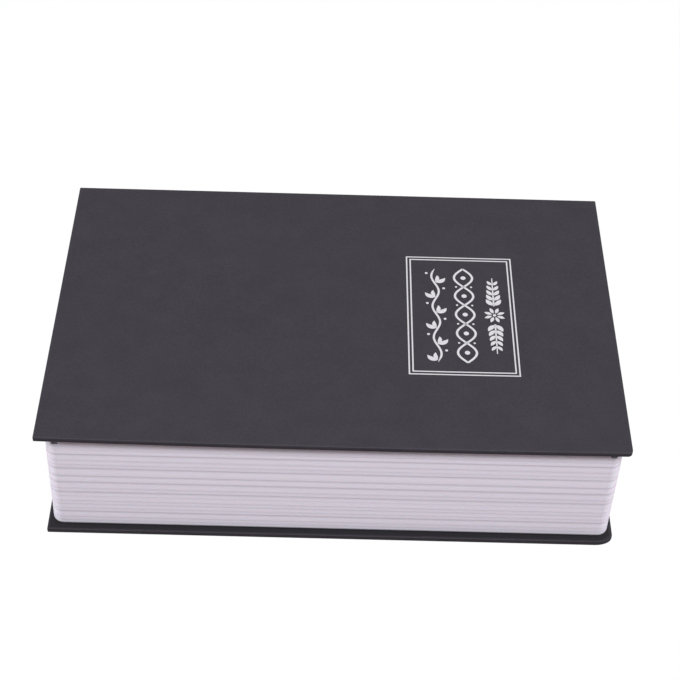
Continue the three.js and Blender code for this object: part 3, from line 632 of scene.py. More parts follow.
def page_plastic(name):
    """Lilac-white moulding with fine lines along the pages, and painted shade where its mark says.
    """
    colour = tuple(bpy.context.scene.page_block.colour)
    made = Finish(name, Specular_IOR_Level=0.4, Subsurface_Scale=0.0006, Subsurface_Weight=0.06)
    lines = made.noise(1.0, 2, 0.6, made.stretched((0.7, 0.7, 1500)))
    bands = made.noise(1.0, 1, 0.5, made.stretched((0.5, 0.5, 260)))
    tone = made.sum(lines, bands, 0.8)
    body = made.mix(made.span(tone, 0.6, 1.2, 0, 1), toned(colour, 0.955), toned(colour, 1.035))
    # Painted shade where the mark says: in and round the grooves, in the slots, at the foot and
    # under the cover.
    page_shade_share = made.span(made.mark(), 0, 1, 0, 1)
    made.set("Base Color", made.mix(page_shade_share, body, (0.02, 0.018, 0.022)))
    made.set("Roughness", made.span(lines, 0.3, 0.7, 0.42, 0.55))
    made.bump(lines, 0.00004, 0.5)
    return made.material


def stamped_foil(name):
    """Silver foil stamped on paper: bright, a little uneven, with tiny specks missing."""
    colour = tuple(bpy.context.scene.cover_foil.colour)
    made = Finish(name, Metallic=1.0)
    wear = made.noise(2600, 3, 0.6)
    made.set("Base Color", made.mix(
        made.span(wear, 0.25, 0.45, 0, 1), toned(colour, 0.72), colour))
    made.set("Roughness", made.span(made.noise(800, 2), 0.3, 0.7, 0.26, 0.40))
    made.bump(made.noise(1700, 2), 0.00003, 0.5)
    return made.material


def powder_coat(name):
    """Black powder coat: low gloss with the orange-peel texture of the fused powder."""
    colour = tuple(bpy.context.scene.steel_box.coat_colour)
    made = Finish(name, Specular_IOR_Level=0.5)
    peel = made.sum(made.noise(1500, 2), made.noise(4200, 2), 0.5)
    made.set("Base Color", made.mix(
        made.span(peel, 0.5, 1.0, 0, 1), toned(colour, 0.8), toned(colour, 1.45)))
    made.set("Roughness", made.span(made.noise(300, 2), 0.3, 0.7, 0.42, 0.54))
    made.bump(peel, 0.00009, 0.6)
    return made.material


def zinc_plate(name):
    """Bright zinc: rolled lines along x, a faint blue and straw bloom, soft gloss."""
    colour = tuple(bpy.context.scene.steel_box.zinc_colour)
    made = Finish(name, Metallic=1.0)
    rolled = made.noise(1.0, 3, 0.6, made.stretched((120, 3000, 3000)))
    bloom = made.mix(
        made.span(made.noise(140, 2), 0.35, 0.65, 0, 1),
        (colour[0] * 0.96, colour[1] * 0.99, colour[2] * 1.06),
        (colour[0] * 1.05, colour[1] * 1.02, colour[2] * 0.93))
    made.set("Base Color", made.mix(
        made.span(rolled, 0.3, 0.7, 0, 0.35), bloom, toned(colour, 0.7)))
    made.set("Roughness", made.span(rolled, 0.3, 0.7, 0.24, 0.38))
    made.bump(rolled, 0.00002, 0.4)
    return made.material


def nickel_chrome(name):
    """Polished plate with hairline scratches and a slight haze."""
    colour = tuple(bpy.context.scene.cam_lock.chrome_colour)
    made = Finish(name, Metallic=1.0)
    scratches = made.noise(1.0, 4, 0.7, made.stretched((260, 4800, 900)))
    made.set("Base Color", made.mix(
        made.span(scratches, 0.3, 0.75, 0, 1), toned(colour, 0.9), toned(colour, 1.06)))
    made.set("Roughness", made.span(scratches, 0.35, 0.75, 0.10, 0.24))
    made.bump(scratches, 0.000008, 0.3)
    return made.material


FINISHES = {
    "cover_sheet": leatherette,
    "lining_paper": endpaper,
    "grey_board": binders_board,
    "page_plastic": page_plastic,
    "silver_foil": stamped_foil,
    "black_steel": powder_coat,
    "zinc_steel": zinc_plate,
    "lock_chrome": nickel_chrome,
}


def finish_of(slot):
    """The finish of a material slot, made when it is first asked for."""
    name = f"{slot}_finish"
    return bpy.data.materials.get(name) or FINISHES[slot](name)


# Hardback case. A panel is drawn with its inner face at z = 0 and laid in place by a basis whose
# rows say where its own x, y and z go.

FOIL_SLOT = "lock_chrome"
COVER_STEPS, SPINE_STEPS = (36, 26, 7), (36, 12, 7)  # on long sides, short sides, corners
WIDE_PANEL = 50 * MM
LEAST_RADIUS = 0.05 * MM
PAPER_CORNER = 0.3 * MM
JOINT_INSET = 0.5 * MM
JOINT_STEPS = (40, 2, 2)
GLUE_GAP = 0.02 * MM
# Reach of the real rubbing and painted highlight along a cover's outer edges.
RUB_HIGHLIGHT_REACH = 0.8 * MM
# Painted shade: on an edge's lower half and the sheet's inside, and the pages' painted contact
# shadow.
PAINTED_SHADE_REACH = 0.8 * MM
EDGE_PAINTED_SHADE = 0.4
SHEET_FOOT_SHADOW = (2.9 * MM, 3.5 * MM)  # from a cover's edge, where the pages' dark foot starts and is full
UPRIGHT = ((1, 0, 0), (0, 1, 0), (0, 0, 1))
FACE_DOWN = ((1, 0, 0), (0, 1, 0), (0, 0, -1))
STANDING = ((1, 0, 0), (0, 0, 1), (0, 1, 0))
ALONG_X = ((0, 1, 0), (0, 0, 1), (1, 0, 0))
HEAD_DOWN = ((1, 0, 0), (0, -1, 0), (0, 0, -1))
FIELD_STEPS = 12
NEAR_EDGE = (6.0 * MM, 4.0 * MM, 2.6 * MM, 1.6 * MM)


def field_insets(half):
    """Distances from the edge at which an outer face has rows, from its middle line outwards."""
    return spaced(half, NEAR_EDGE[0] * 1.6, FIELD_STEPS) + list(NEAR_EDGE)


def sheet_profile(half, thickness, edge, sheet, turn_in):
    """The covering sheet's section: over the outer face, round the edge, under to the turn-in's
    cut edge, then back along the sheet's inner side."""
    inner = max(edge - sheet, LEAST_RADIUS)
    outer_face = [(inset, thickness) for inset in field_insets(half)]
    return [
        *outer_face,
        *side_arcs(edge, 0, thickness)[::-1],
        *[(inset, 0) for inset in (edge + PAINTED_SHADE_REACH, *SHEET_FOOT_SHADOW, turn_in - sheet / 4)],
        (turn_in, sheet / 4),
        (turn_in, sheet),
        *edge_arc(inner, sheet + inner, sheet + inner, -90, 0),
        *edge_arc(inner, sheet + inner, thickness - sheet - inner, 0, 90),
        *[(inset, thickness - sheet) for inset in field_insets(half)[::-1]],
    ]


def slab_profile(half, bottom, top, edge):
    """A plain slab's section, with its lower and upper edges rounded alike."""
    middle = [(inset, bottom) for inset in field_insets(half)]
    return [
        *middle,
        *side_arcs(edge, bottom, top, 3),
        *[(inset, top) for inset, _ in middle[::-1]],
    ]


def panel_pieces(case, area, radii, thickness, edge):
    """Covering sheet, board and pasted paper of one panel, as shapes in the panel's own frame."""
    half = (area[3] - area[2]) / 2
    places = places_round(*(COVER_STEPS if half > WIDE_PANEL else SPINE_STEPS))
    profile = sheet_profile(half, thickness, edge, case.sheet, case.turn_in)
    inset, z = np.array(profile).T
    outward = ramp(0, thickness, z)
    # Real rubbing and a painted highlight on the outer edges.
    rub_highlight_share = (1 - ramp(0, RUB_HIGHLIGHT_REACH, inset)) * outward
    inner_face = z < case.sheet / 2
    # Painted shade on the edge's lower half and inside the cover, and the pages' painted contact
    # shadow.
    painted_sheet_shade = (1 - outward) * np.where(
        inner_face, EDGE_PAINTED_SHADE + (1 - EDGE_PAINTED_SHADE) * ramp(edge, edge + PAINTED_SHADE_REACH, inset)
        + ramp(*SHEET_FOOT_SHADOW, inset), EDGE_PAINTED_SHADE)
    covering = closed_surface(
        inset_rows(places, area, radii, profile), marks=(rub_highlight_share - painted_sheet_shade)[:, None])
    gap = case.sheet + GLUE_GAP
    core = inset_rows(
        places, shrunk(area, gap), np.maximum(np.array(radii) - gap, 0),
        slab_profile(half - gap, gap, thickness - gap, max(edge - gap, LEAST_RADIUS)))
    fold = case.turn_in + GLUE_GAP
    paper = inset_rows(
        places, shrunk(area, fold), np.full(4, PAPER_CORNER),
        slab_profile(half - fold, 0, case.sheet, LEAST_RADIUS))
    return covering, closed_surface(core), closed_surface(paper)


def add_panel(prefix, pieces, names, basis, place, body, bend=None):
    """Adds a panel's sheet, board and paper, each in the stead of its CAD node."""
    slots = ("cover_sheet", "grey_board", "lining_paper")
    for shape, kind, node, slot in zip(pieces, ("sheet", "core", "paper"), names, slots):
        shape = moved(shape, place, basis)
        if bend is not None:
            shape = bend(shape)
        add_piece(f"{prefix}_{kind}", shape, slot, (node,), body)


def cover_bow(case):
    """The bow of the front cover, which stands off the pages a little at its fore-edge: adds
    g (a + b u + c u^2) to z, u running from -1 at the tail to 1 at the head and g from 0 at the
    spine to 1 at the fore-edge."""
    x0, x1, y0, y1 = area_of("front_cover_wrap")
    slope = (case.head_lift - case.tail_lift) / 2
    curve = (case.head_lift + case.tail_lift) / 2 - case.fore_edge_lift

    def bend(shape):
        points, quads, marks = shape
        u = (2 * points[:, 0] - x0 - x1) / (x1 - x0)
        g = np.clip((y1 - points[:, 1]) / (y1 - y0), 0, 1)
        raised = points.copy()
        raised[:, 2] += g * (case.fore_edge_lift + slope * u + curve * u ** 2)
        return raised, quads, marks
    return bend


def corner_drawn_out(case, area):
    """A bend that stretches the worn corner along x and takes the length from the next stretch:
    distances from the head edge, r and 3 r long, become the wanted length and the rest of 4 r."""
    radius, length = case.worn_corner_radius, case.worn_corner_length
    end = 4 * radius

    def bend(shape):
        points, quads, marks = shape
        drawn = points.copy()
        drawn[:, 0] = area[1] - np.interp(
            area[1] - points[:, 0], (0, radius, end, 2 * area[1]), (0, length, end, 2 * area[1]))
        return drawn, quads, marks
    return bend


class SAFE_OT_front_cover(bpy.types.Operator):
    """Front cover: sheet, board and endpaper, bowed so that its fore-edge stands up a little"""
    bl_idname = "book_safe.front_cover"
    bl_label = "Front cover"

    def execute(self, context):
        case = context.scene.book_case
        area = area_of("front_cover_wrap")
        inner, outer = levels_of("front_cover_wrap")
        sound = case.corner_radius
        radii = (sound, sound, sound, case.bumped_corner_radius)
        pieces = panel_pieces(case, area, radii, outer - inner, case.edge_radius)
        add_panel(
            "front_cover", pieces, ("front_cover_wrap", "front_board", "front_endpaper"),
            UPRIGHT, (0, 0, inner), "front_cover", cover_bow(case))
        return {"FINISHED"}


class SAFE_OT_back_cover(bpy.types.Operator):
    """Back cover: sheet, board and endpaper, one fore-edge corner worn round"""
    bl_idname = "book_safe.back_cover"
    bl_label = "Back cover"

    def execute(self, context):
        case = context.scene.book_case
        area = area_of("back_cover_wrap")
        outer, inner = levels_of("back_cover_wrap")
        sound = case.corner_radius
        radii = (sound, sound, sound, case.worn_corner_radius)
        pieces = panel_pieces(case, area, radii, inner - outer, case.edge_radius)
        add_panel(
            "back_cover", pieces, ("back_cover_wrap", "back_board", "back_endpaper"),
            FACE_DOWN, (0, 0, inner), "root", corner_drawn_out(case, area))
        return {"FINISHED"}


def joint_strip(x0, x1, outer_y, sheet, bottom, top, steps=22):
    """The sheet where it crosses a crease: a strip whose section along z is closed at both ends."""
    area = (x0 + JOINT_INSET, x1 - JOINT_INSET, outer_y - sheet, outer_y)
    places = places_round(*JOINT_STEPS)
    levels = spaced(bottom, top, steps)
    profile = [(sheet / 2, bottom), *[(0, z) for z in levels], (sheet / 2, top)]
    return closed_surface(inset_rows(places, area, np.full(4, sheet / 5), profile))


class SAFE_OT_spine(bpy.types.Operator):
    """Spine: sheet, board and lining, and the strips of sheet that cross the two creases"""
    bl_idname = "book_safe.spine"
    bl_label = "Spine"

    def execute(self, context):
        case = context.scene.book_case
        low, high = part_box("spine_wrap")
        middle = (low.z + high.z) / 2
        area = (low.x, high.x, low.z - middle, high.z - middle)
        edge = case.spine_edge_radius
        pieces = panel_pieces(case, area, np.full(4, edge), high.y - low.y, edge)
        add_panel(
            "spine", pieces, ("spine_wrap", "spine_board", "spine_lining"),
            STANDING, (0, low.y, middle), "root")
        self.add_joints(case, low, high, edge)
        return {"FINISHED"}

    def add_joints(self, case, low, high, edge):
        """The crease strips reach from the flat of the spine to the flat of each cover's edge."""
        x0, x1 = low.x + case.corner_radius / 2, high.x - case.corner_radius / 2
        cover_underside = levels_of("front_cover_wrap")[0]
        back_inside = levels_of("back_cover_wrap")[1]
        lower = joint_strip(
            x0, x1, high.y, case.sheet, back_inside - case.edge_radius, low.z + edge)
        add_piece("back_joint_sheet", lower, "cover_sheet", (), "root")
        start, end = high.z - edge, cover_underside + case.edge_radius
        upper = joint_strip(x0, x1, high.y, case.sheet, start, end)
        strip = add_piece("front_joint_sheet", upper, "cover_sheet", ("front_joint",))
        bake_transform(strip)


# Silver foil on the front cover: a double frame round three bands of ornament. The bands run
# along y, one above another along x, and every stroke is a ribbon with rounded-off edges.

FRAME_OUTSIDE = (30.8 * MM, 77.7 * MM, -36.8 * MM, 36.1 * MM)
FRAME_GAP = 1.58 * MM
FRAME_CORNER = 0.12 * MM
FOIL_SUNK = 0.01 * MM
FOIL_BEVEL = 0.3
BEAD_COLUMNS = 20
SPRIG_BAND = {"x": 68.6 * MM, "half_length": 23.4 * MM}
TWIST_BAND = {"x": 55.9 * MM, "half_length": 28.9 * MM, "height": 8.0 * MM, "eyes": 5}
VINE_BAND = {"x": 43.4 * MM, "half_length": 28.7 * MM, "height": 3.0 * MM, "waves": 3}
BANDS_MIDDLE = -0.35 * MM
FLOWER = {"petals": 8, "start": 1.25 * MM, "length": 3.4 * MM, "width": 0.78 * MM}
SPRIG = {"pairs": 5, "stem": 5.6 * MM, "first": 6.2 * MM, "end_gap": 7.4 * MM, "leaf": 4.9 * MM}
SPRIG_SPREAD = math.radians(42)
TWIST_DOT_OFFSET = 3.3 * MM
BERRY_OFFSET = (3.7 * MM, 1.9 * MM)
VINE_LEAVES = ((-62, -1.3, 5.4), (-14, -1.0, 4.4))  # turn in degrees, curl, length in mm


def ribbon(path, half_width, base, top):
    """A raised stroke: at each path point the section runs from the base on one side, over a top
    that is a little narrower, to the base on the other; both ends close in a point."""
    path = np.asarray(path, float)
    _, normal = directions(path)
    half = np.broadcast_to(half_width, len(path))[:, None]
    narrower = np.maximum(half - FOIL_BEVEL * (top - base), half * 0.6)
    sides = np.stack([-half, -narrower, narrower, half], 1)[:, :, 0]
    heights = np.array([base, top, top, base])
    rows = np.stack([
        path[:, :1] + normal[:, :1] * sides,
        path[:, 1:] + normal[:, 1:] * sides,
        np.broadcast_to(heights, sides.shape)], -1)
    ends = [
        np.tile([*path[end], (base + top) / 2], (4, 1)) for end in (0, -1)]
    return closed_surface(np.concatenate([ends[:1], rows, ends[1:]]))


def leaf(start, turn, length, width, curl, base, top, steps=14):
    """An almond: its middle line leaves start at an angle and curls; its half width is
    width * sin(pi t)^0.8 of the way along."""
    t = np.linspace(0, 1, steps + 1)
    heading = turn + curl * (t - 0.5)
    step = length / steps * np.column_stack([np.cos(heading), np.sin(heading)])
    path = np.asarray(start) + np.cumsum(step, axis=0) - step[0]
    return ribbon(path, width * np.sin(math.pi * np.clip(t, 0.03, 0.97)) ** 0.8, base, top)


def bead(centre, radius, base, top):
    """A round dot of foil."""
    rows = [(0, base), (radius, base), (radius - FOIL_BEVEL * (top - base), top), (0, top)]
    return moved(turned(rows, BEAD_COLUMNS), (*centre, 0))


def foil_frame(foil, base, top):
    """Two square lines, one inside the other, each a ring of the same section."""
    places = places_round(2, 2, 2)
    rings = []
    for inset in (0, FRAME_GAP):
        edge = FOIL_BEVEL * (top - base)
        profile = [
            (inset, base), (inset + edge, top),
            (inset + foil.line - edge, top), (inset + foil.line, base)]
        rows = [
            level(places, shrunk(FRAME_OUTSIDE, distance), FRAME_CORNER, z)
            for distance, z in profile]
        rings.append(closed_surface(rows, rows_close=True))
    return rings


def sprig_band(foil, base, top):
    """An eight-petalled flower between two laurel sprigs that taper outwards."""
    x, reach, stroke = SPRIG_BAND["x"], SPRIG_BAND["half_length"], foil.stroke
    shapes = [bead((x, BANDS_MIDDLE), 0.75 * stroke, base, top)]
    near = FLOWER["start"]
    for petal in range(FLOWER["petals"]):
        turn = (petal + 0.5) * 2 * math.pi / FLOWER["petals"]
        start = (x + near * math.cos(turn), BANDS_MIDDLE + near * math.sin(turn))
        shapes.append(leaf(start, turn, FLOWER["length"], FLOWER["width"], 0, base, top))
    for side in (-1, 1):
        stem_y = np.linspace(SPRIG["stem"], reach, 24)
        stem = np.column_stack([np.full(24, x), BANDS_MIDDLE + side * stem_y])
        shapes.append(ribbon(stem, np.linspace(0.42, 0.22, 24) * stroke, base, top))
        for pair in range(SPRIG["pairs"]):
            share = pair / SPRIG["pairs"]
            out = SPRIG["first"] + share * (reach - SPRIG["end_gap"])
            root = (x, BANDS_MIDDLE + side * out)
            for way in (-1, 1):
                turn = side * QUARTER - way * side * SPRIG_SPREAD
                size = SPRIG["leaf"] * (1 - 0.38 * share)
                shapes.append(leaf(
                    root, turn, size, 0.22 * size, way * side * 0.7, base, top))
    return shapes


def twist_band(foil, base, top):
    """Two strands x = +-a sin(k y) that cross between beads, closed off by a bar at each end."""
    x, reach = TWIST_BAND["x"], TWIST_BAND["half_length"]
    half = TWIST_BAND["height"] / 2
    eyes = TWIST_BAND["eyes"]
    y = np.linspace(-reach, reach, 36 * eyes + 1)
    wave = half * np.sin(math.pi * eyes * (y + reach) / (2 * reach))
    shapes = [
        ribbon(np.column_stack([x + sign * wave, BANDS_MIDDLE + y]), foil.stroke * 0.5, base, top)
        for sign in (-1, 1)]
    eye = 2 * reach / eyes
    for number in range(eyes):
        middle = BANDS_MIDDLE - reach + (number + 0.5) * eye
        shapes.append(bead((x, middle), 1.15 * foil.stroke, base, top))
    for number in range(1, eyes):
        crossing = BANDS_MIDDLE - reach + number * eye
        for way in (-1, 1):
            shapes.append(
                bead((x + way * TWIST_DOT_OFFSET, crossing), 0.5 * foil.stroke, base, top))
    return shapes


def vine_band(foil, base, top):
    """A stem x = a sin(k y) with a curled leaf and a berry in every bend."""
    x, reach = VINE_BAND["x"], VINE_BAND["half_length"]
    waves, height = VINE_BAND["waves"], VINE_BAND["height"]
    y = np.linspace(-reach, reach, 48 * waves + 1)
    phase = math.pi * 2 * waves * (y + reach) / (2 * reach)
    stem = np.column_stack([x + height / 2 * np.sin(phase), BANDS_MIDDLE + y])
    taper = np.minimum(1, 8 * (1 - np.abs(y / reach)) + 0.25)
    shapes = [ribbon(stem, 0.46 * foil.stroke * taper, base, top)]
    half_wave = reach / waves
    for bend in range(2 * waves):
        side = 1 if bend % 2 == 0 else -1
        crest = BANDS_MIDDLE - reach + (bend + 0.5) * half_wave
        root = (x - side * 0.1 * MM, crest - half_wave * 0.38)
        for turn, curl, size in VINE_LEAVES:
            heading = QUARTER + side * math.radians(-turn)
            shapes.append(leaf(
                root, heading, size * MM, 0.2 * size * MM, side * curl, base, top))
        berry = (x + side * BERRY_OFFSET[0], crest + BERRY_OFFSET[1])
        shapes.append(bead(berry, 0.62 * foil.stroke, base, top))
    return shapes


class SAFE_OT_cover_foil(bpy.types.Operator):
    """Stamped silver panel on the front cover: a double frame and three bands of plain ornament"""
    bl_idname = "book_safe.cover_foil"
    bl_label = "Cover foil"

    def execute(self, context):
        foil = context.scene.cover_foil
        surface = levels_of("front_cover_wrap")[1]
        base, top = surface - FOIL_SUNK, surface + foil.height
        bend = cover_bow(context.scene.book_case)
        for name, band in (
            ("foil_frame", foil_frame), ("foil_sprigs", sprig_band),
            ("foil_twist", twist_band), ("foil_vine", vine_band),
        ):
            shape = bend(together(*band(foil, base, top)))
            add_piece(name, shape, FOIL_SLOT, (), "front_cover", "silver_foil")
        return {"FINISHED"}


# Page block. Bundles of pages, lowest first: height, and depth of the groove above, in millimetres.

STRONG, PLAIN, WEAK = 0.06, 0.036, 0.02
PAGE_BUNDLES = (
    (1.8, PLAIN), (2.1, PLAIN), (3.9, STRONG), (2.1, PLAIN), (2.6, PLAIN), (2.1, PLAIN),
    (3.0, WEAK), (2.9, STRONG), (2.2, PLAIN), (4.1, STRONG), (3.9, STRONG), (4.9, STRONG),
    (2.1, PLAIN), (2.7, PLAIN), (3.8, STRONG), (2.4, WEAK), (2.6, WEAK), (4.9, 0.0),
)
GROOVE_ROWS = (0.0, 0.3, 0.6, 0.9, 1.3, 1.8, 2.5)
ROW_PITCH = 0.8 * MM
BLOCK_STEPS = (20, 12, 9)
PILLOW = 0.03
# Painted shade on the page side: round each groove and on its lower lip, a contact shadow at the
# foot, the cover's shadow at the top.
GROOVE_SHADE_WIDTH = 0.8 * MM
GROOVE_SHADE_SHARE = 0.12
LIP_SHADE_SHARE = 0.24
LIP_SHADE_DROP = 0.8
FOOT_SHADOW_SHARE = 0.85
FOOT_SHADOW_HEIGHT = 0.42 * MM
TOP_SHADOW_SHARE = 0.24
TOP_SHADOW_HEIGHT = 3.0 * MM
GROOVE_SHADE_DROP = 0.15 * MM
LEAN = 0.55 * MM
DRAFT = 0.65 * MM
TOP_EDGE = 0.4 * MM
TOP_EDGE_STEPS = 4
SPINE_SIDE_RADIUS = 1.5 * MM
SKIRT_THICKNESS = 1.4 * MM
LEDGE_WIDTH = 16.3 * MM
LEDGE = 2.0 * MM
SLOT_SIZE = (1.3 * MM, 0.75 * MM, 1.5 * MM)  # half width, half height, depth
SLOT_DROP = 3.4 * MM
SLOT_OFFSET = 0.6 * MM
SLOT_EDGE = 0.1 * MM
SLOT_ROWS = (-1.3, -0.7, 0.7, 1.3)  # across a slot's edge, in SLOT_EDGE
CORNER_COLUMNS = (0.2, 0.4, 0.55, 0.65, 0.75, 0.9, 1.2, 1.5, 1.75, 1.85, 1.95, 2.1)  # in mm
RIB = 1.2 * MM
RIB_EDGE = 0.15 * MM
RIB_SPACING = 38 * MM
BOSS_RADIUS = 4.0 * MM
BOSS_COLUMNS = 24
BOSS_BORE = 1.7 * MM
BORE_FLOOR = 0.1 * MM
BOX_STANDOFF = 0.1 * MM


def groove_layout(bottom, top):
    """Height of each groove between bottom and top, and its depth."""
    heights, depths = np.array(PAGE_BUNDLES).T * MM
    centres = bottom + np.cumsum(heights)[:-1] * (top - bottom) / heights.sum()
    return centres, depths[:-1]


def side_heights(bottom, top, centres, half_width):
    """Heights of the side's rows: evenly spaced, and close together in each groove."""
    steps = np.array(GROOVE_ROWS) * half_width
    near = np.concatenate([centres + sign * step for step in steps for sign in (-1, 1)])
    even = np.linspace(bottom, top, int(round((top - bottom) / ROW_PITCH)) + 1)
    rows = np.concatenate([even, near])
    return np.unique(np.round(rows[(rows >= bottom) & (rows <= top)], WELD_DECIMALS))


def side_depths(z, bottom, top, centres, depths, half_width):
    """How far the page side stands back at each height, and how much painted shade it gets: each
    bundle is a shallow pillow, p (2t - 1)^2 deep at a share t of its height, with d exp(-(u / w)^2)
    for a groove at a distance u; painted shade lies on the groove's lower lip, with a wider,
    fainter painted shade round it. The foot of the block has a painted contact shadow where it
    meets the cover, and its top a painted shadow of the cover."""
    bounds = np.concatenate([[bottom], centres, [top]])
    bundle = np.clip(np.searchsorted(bounds, z, side="right") - 1, 0, len(bounds) - 2)
    height = bounds[bundle + 1] - bounds[bundle]
    share = (z - bounds[bundle]) / height
    pillow = PILLOW * height / 4 * (2 * share - 1) ** 2
    away = z[:, None] - centres
    grooves = (depths * np.exp(-(away / half_width) ** 2)).sum(axis=1)
    share = depths / depths.max()
    # Painted shade on each groove's lower lip and in a wider band round it.
    lip_shade = (share * np.exp(-(away / half_width + LIP_SHADE_DROP) ** 2)).sum(axis=1)
    painted_page_shade = (share * np.exp(-((away + GROOVE_SHADE_DROP) / GROOVE_SHADE_WIDTH) ** 2)).sum(axis=1)
    # Painted contact shadow at the foot, where the block meets the cover.
    foot = np.exp(-((z - bottom) / FOOT_SHADOW_HEIGHT) ** 2)
    marks = LIP_SHADE_SHARE * lip_shade + GROOVE_SHADE_SHARE * painted_page_shade + FOOT_SHADOW_SHARE * foot
    # Painted shadow of the front cover along the top of the page side.
    marks += TOP_SHADOW_SHARE * np.exp(-((top - z) / TOP_SHADOW_HEIGHT) ** 2)
    return grooves + pillow, np.minimum(marks, 1)


def plain_block(area, low, high, rounding):
    """A block with its edges just broken."""
    half = (area[3] - area[2]) / 2
    return closed_surface(inset_rows(
        places_round(1, 1, 2), area, np.full(4, rounding),
        [(half, low), *side_arcs(rounding, low, high, 2), (half, high)]))


def rib_places(start, end):
    """Middles of the ribs along a side: its length in equal gaps, none over the spacing."""
    gaps = math.ceil((end - start) / RIB_SPACING)
    return np.linspace(start, end, gaps + 1)[1:-1]


class SAFE_OT_page_block(bpy.types.Operator):
    """Page block: grooved outside, rim and skirt round the box, ledge, ribs and screw bosses"""
    bl_idname = "book_safe.page_block"
    bl_label = "Page block"

    def execute(self, context):
        block = context.scene.page_block
        area = area_of("page_frame")
        bottom, top = levels_of("page_frame")
        shell = self.shell(block, area, bottom, top)
        ribs = self.ribs(block, area, bottom, top)
        bosses = self.bosses(bottom)
        add_piece(
            "page_block", together(shell, *ribs, *bosses), "page_plastic", ("page_frame",), "root")
        return {"FINISHED"}

    def shell(self, block, area, bottom, top):
        """Outer side first, then over the rim, down the skirt, up inside the wall and the ledge."""
        radii = np.array([SPINE_SIDE_RADIUS] * 2 + [block.corner_radius] * 2)
        near = np.array(CORNER_COLUMNS) * MM
        along = near / (area[1] - area[0] - 2 * block.corner_radius)
        round_corner = near / (block.corner_radius * QUARTER)
        extra = [np.column_stack([np.full(len(near), stretch), shares]) for stretch, shares in (
            (5, 1 - round_corner), (6, along), (6, 1 - along), (7, round_corner))]
        places = places_round(*BLOCK_STEPS, extra)
        flat, outward = outline(places, area, radii)
        centres, depths = groove_layout(bottom, top)
        z = side_heights(bottom, top - TOP_EDGE, centres, block.groove_width)
        lip = np.array(SLOT_ROWS)
        z = np.union1d(z, top - SLOT_DROP + np.sign(lip) * SLOT_SIZE[1] + lip * SLOT_EDGE)
        depth, painted_page_shade = side_depths(z, bottom, top, centres, depths, block.groove_width)
        back = np.column_stack([outward[:, 0], np.minimum(outward[:, 1], 0)])
        slot = self.slots(flat, outward, z, area, top, block.corner_radius)
        away = depth[:, None] * (1 - slot) + slot * SLOT_SIZE[2]
        side = np.concatenate([
            flat - away[..., None] * back,
            np.broadcast_to(z[:, None, None], (*away.shape, 1))], -1)
        # Painted shade on the page side, and painted shade that makes each slot's inside nearly
        # black.
        side_marks = np.maximum(painted_page_shade[:, None] * np.abs(back).max(axis=1), slot)
        skirt = block.rim - SKIRT_THICKNESS
        rest = inset_rows(places, area, radii, [
            *edge_arc(TOP_EDGE, TOP_EDGE, top - TOP_EDGE, 0, 90, TOP_EDGE_STEPS)[1:],
            (block.rim - TOP_EDGE / 2, top),
            (block.rim, top - TOP_EDGE / 2),
            (block.rim, top - block.skirt),
            (skirt, top - block.skirt),
            (skirt, top - block.wall),
            (block.wall, top - block.wall),
            (block.wall, bottom + LEDGE),
            (LEDGE_WIDTH, bottom + LEDGE),
            (LEDGE_WIDTH, bottom),
        ])
        marks = np.concatenate([side_marks, np.zeros(rest.shape[:2])])
        rows = np.concatenate([side, rest])
        outside = np.arange(len(rows)) < len(side) + TOP_EDGE_STEPS
        middle, half = (area[0] + area[1]) / 2, (area[1] - area[0]) / 2
        rise = (rows[..., 2] - bottom) / (top - bottom) * outside[:, None]
        rows[..., 0] += rise * (LEAN - DRAFT * (rows[..., 0] - middle) / half)
        return closed_surface(rows, rows_close=True, marks=marks)

    def slots(self, flat, outward, z, area, top, corner):
        """1 inside the two small moulded slots near the ends of the fore-edge, 0 outside."""
        from_end = np.minimum(flat[:, 0] - area[0], area[1] - flat[:, 0])
        from_slot = abs(from_end - corner + SLOT_OFFSET)
        across = 1 - ramp(SLOT_SIZE[0] - SLOT_EDGE, SLOT_SIZE[0] + SLOT_EDGE, from_slot)
        high = 1 - ramp(
            SLOT_SIZE[1] - SLOT_EDGE, SLOT_SIZE[1] + SLOT_EDGE, abs(z - top + SLOT_DROP))
        return high[:, None] * (across * (outward[:, 1] < -0.5))

    def ribs(self, block, area, bottom, top):
        """A box at each rib place, between the wall and the skirt, from the ledge to the rim."""
        x0, x1, y0, y1 = area
        low, high = bottom + LEDGE - GLUE_GAP, top - block.wall + GLUE_GAP
        wall, rim = block.wall - GLUE_GAP, block.rim - SKIRT_THICKNESS + GLUE_GAP
        stood = [
            (x - RIB / 2, x + RIB / 2, y + inner, y + outer)
            for x in rib_places(x0, x1) for y, inner, outer in ((y0, wall, rim), (y1, -rim, -wall))]
        laid = [
            (x + inner, x + outer, y - RIB / 2, y + RIB / 2)
            for y in rib_places(y0, y1) for x, inner, outer in ((x0, wall, rim), (x1, -rim, -wall))]
        return [plain_block(spot, low, high, RIB_EDGE) for spot in stood + laid]

    def bosses(self, bottom):
        """A turned post with a blind bore under each of the box's screws, up from the ledge."""
        top = levels_of("steel_tray")[0] - BOX_STANDOFF
        foot = bottom + LEDGE - GLUE_GAP
        profile = [
            (0, foot), (BOSS_RADIUS, foot),
            (BOSS_RADIUS, top - GLUE_GAP), (BOSS_RADIUS - GLUE_GAP, top),
            (BOSS_BORE, top), (BOSS_BORE, foot + BORE_FLOOR), (0, foot + BORE_FLOOR)]
        return [moved(turned(profile, BOSS_COLUMNS), (x, y, 0)) for x, y in screw_places()]


# Steel box, lid and hinges

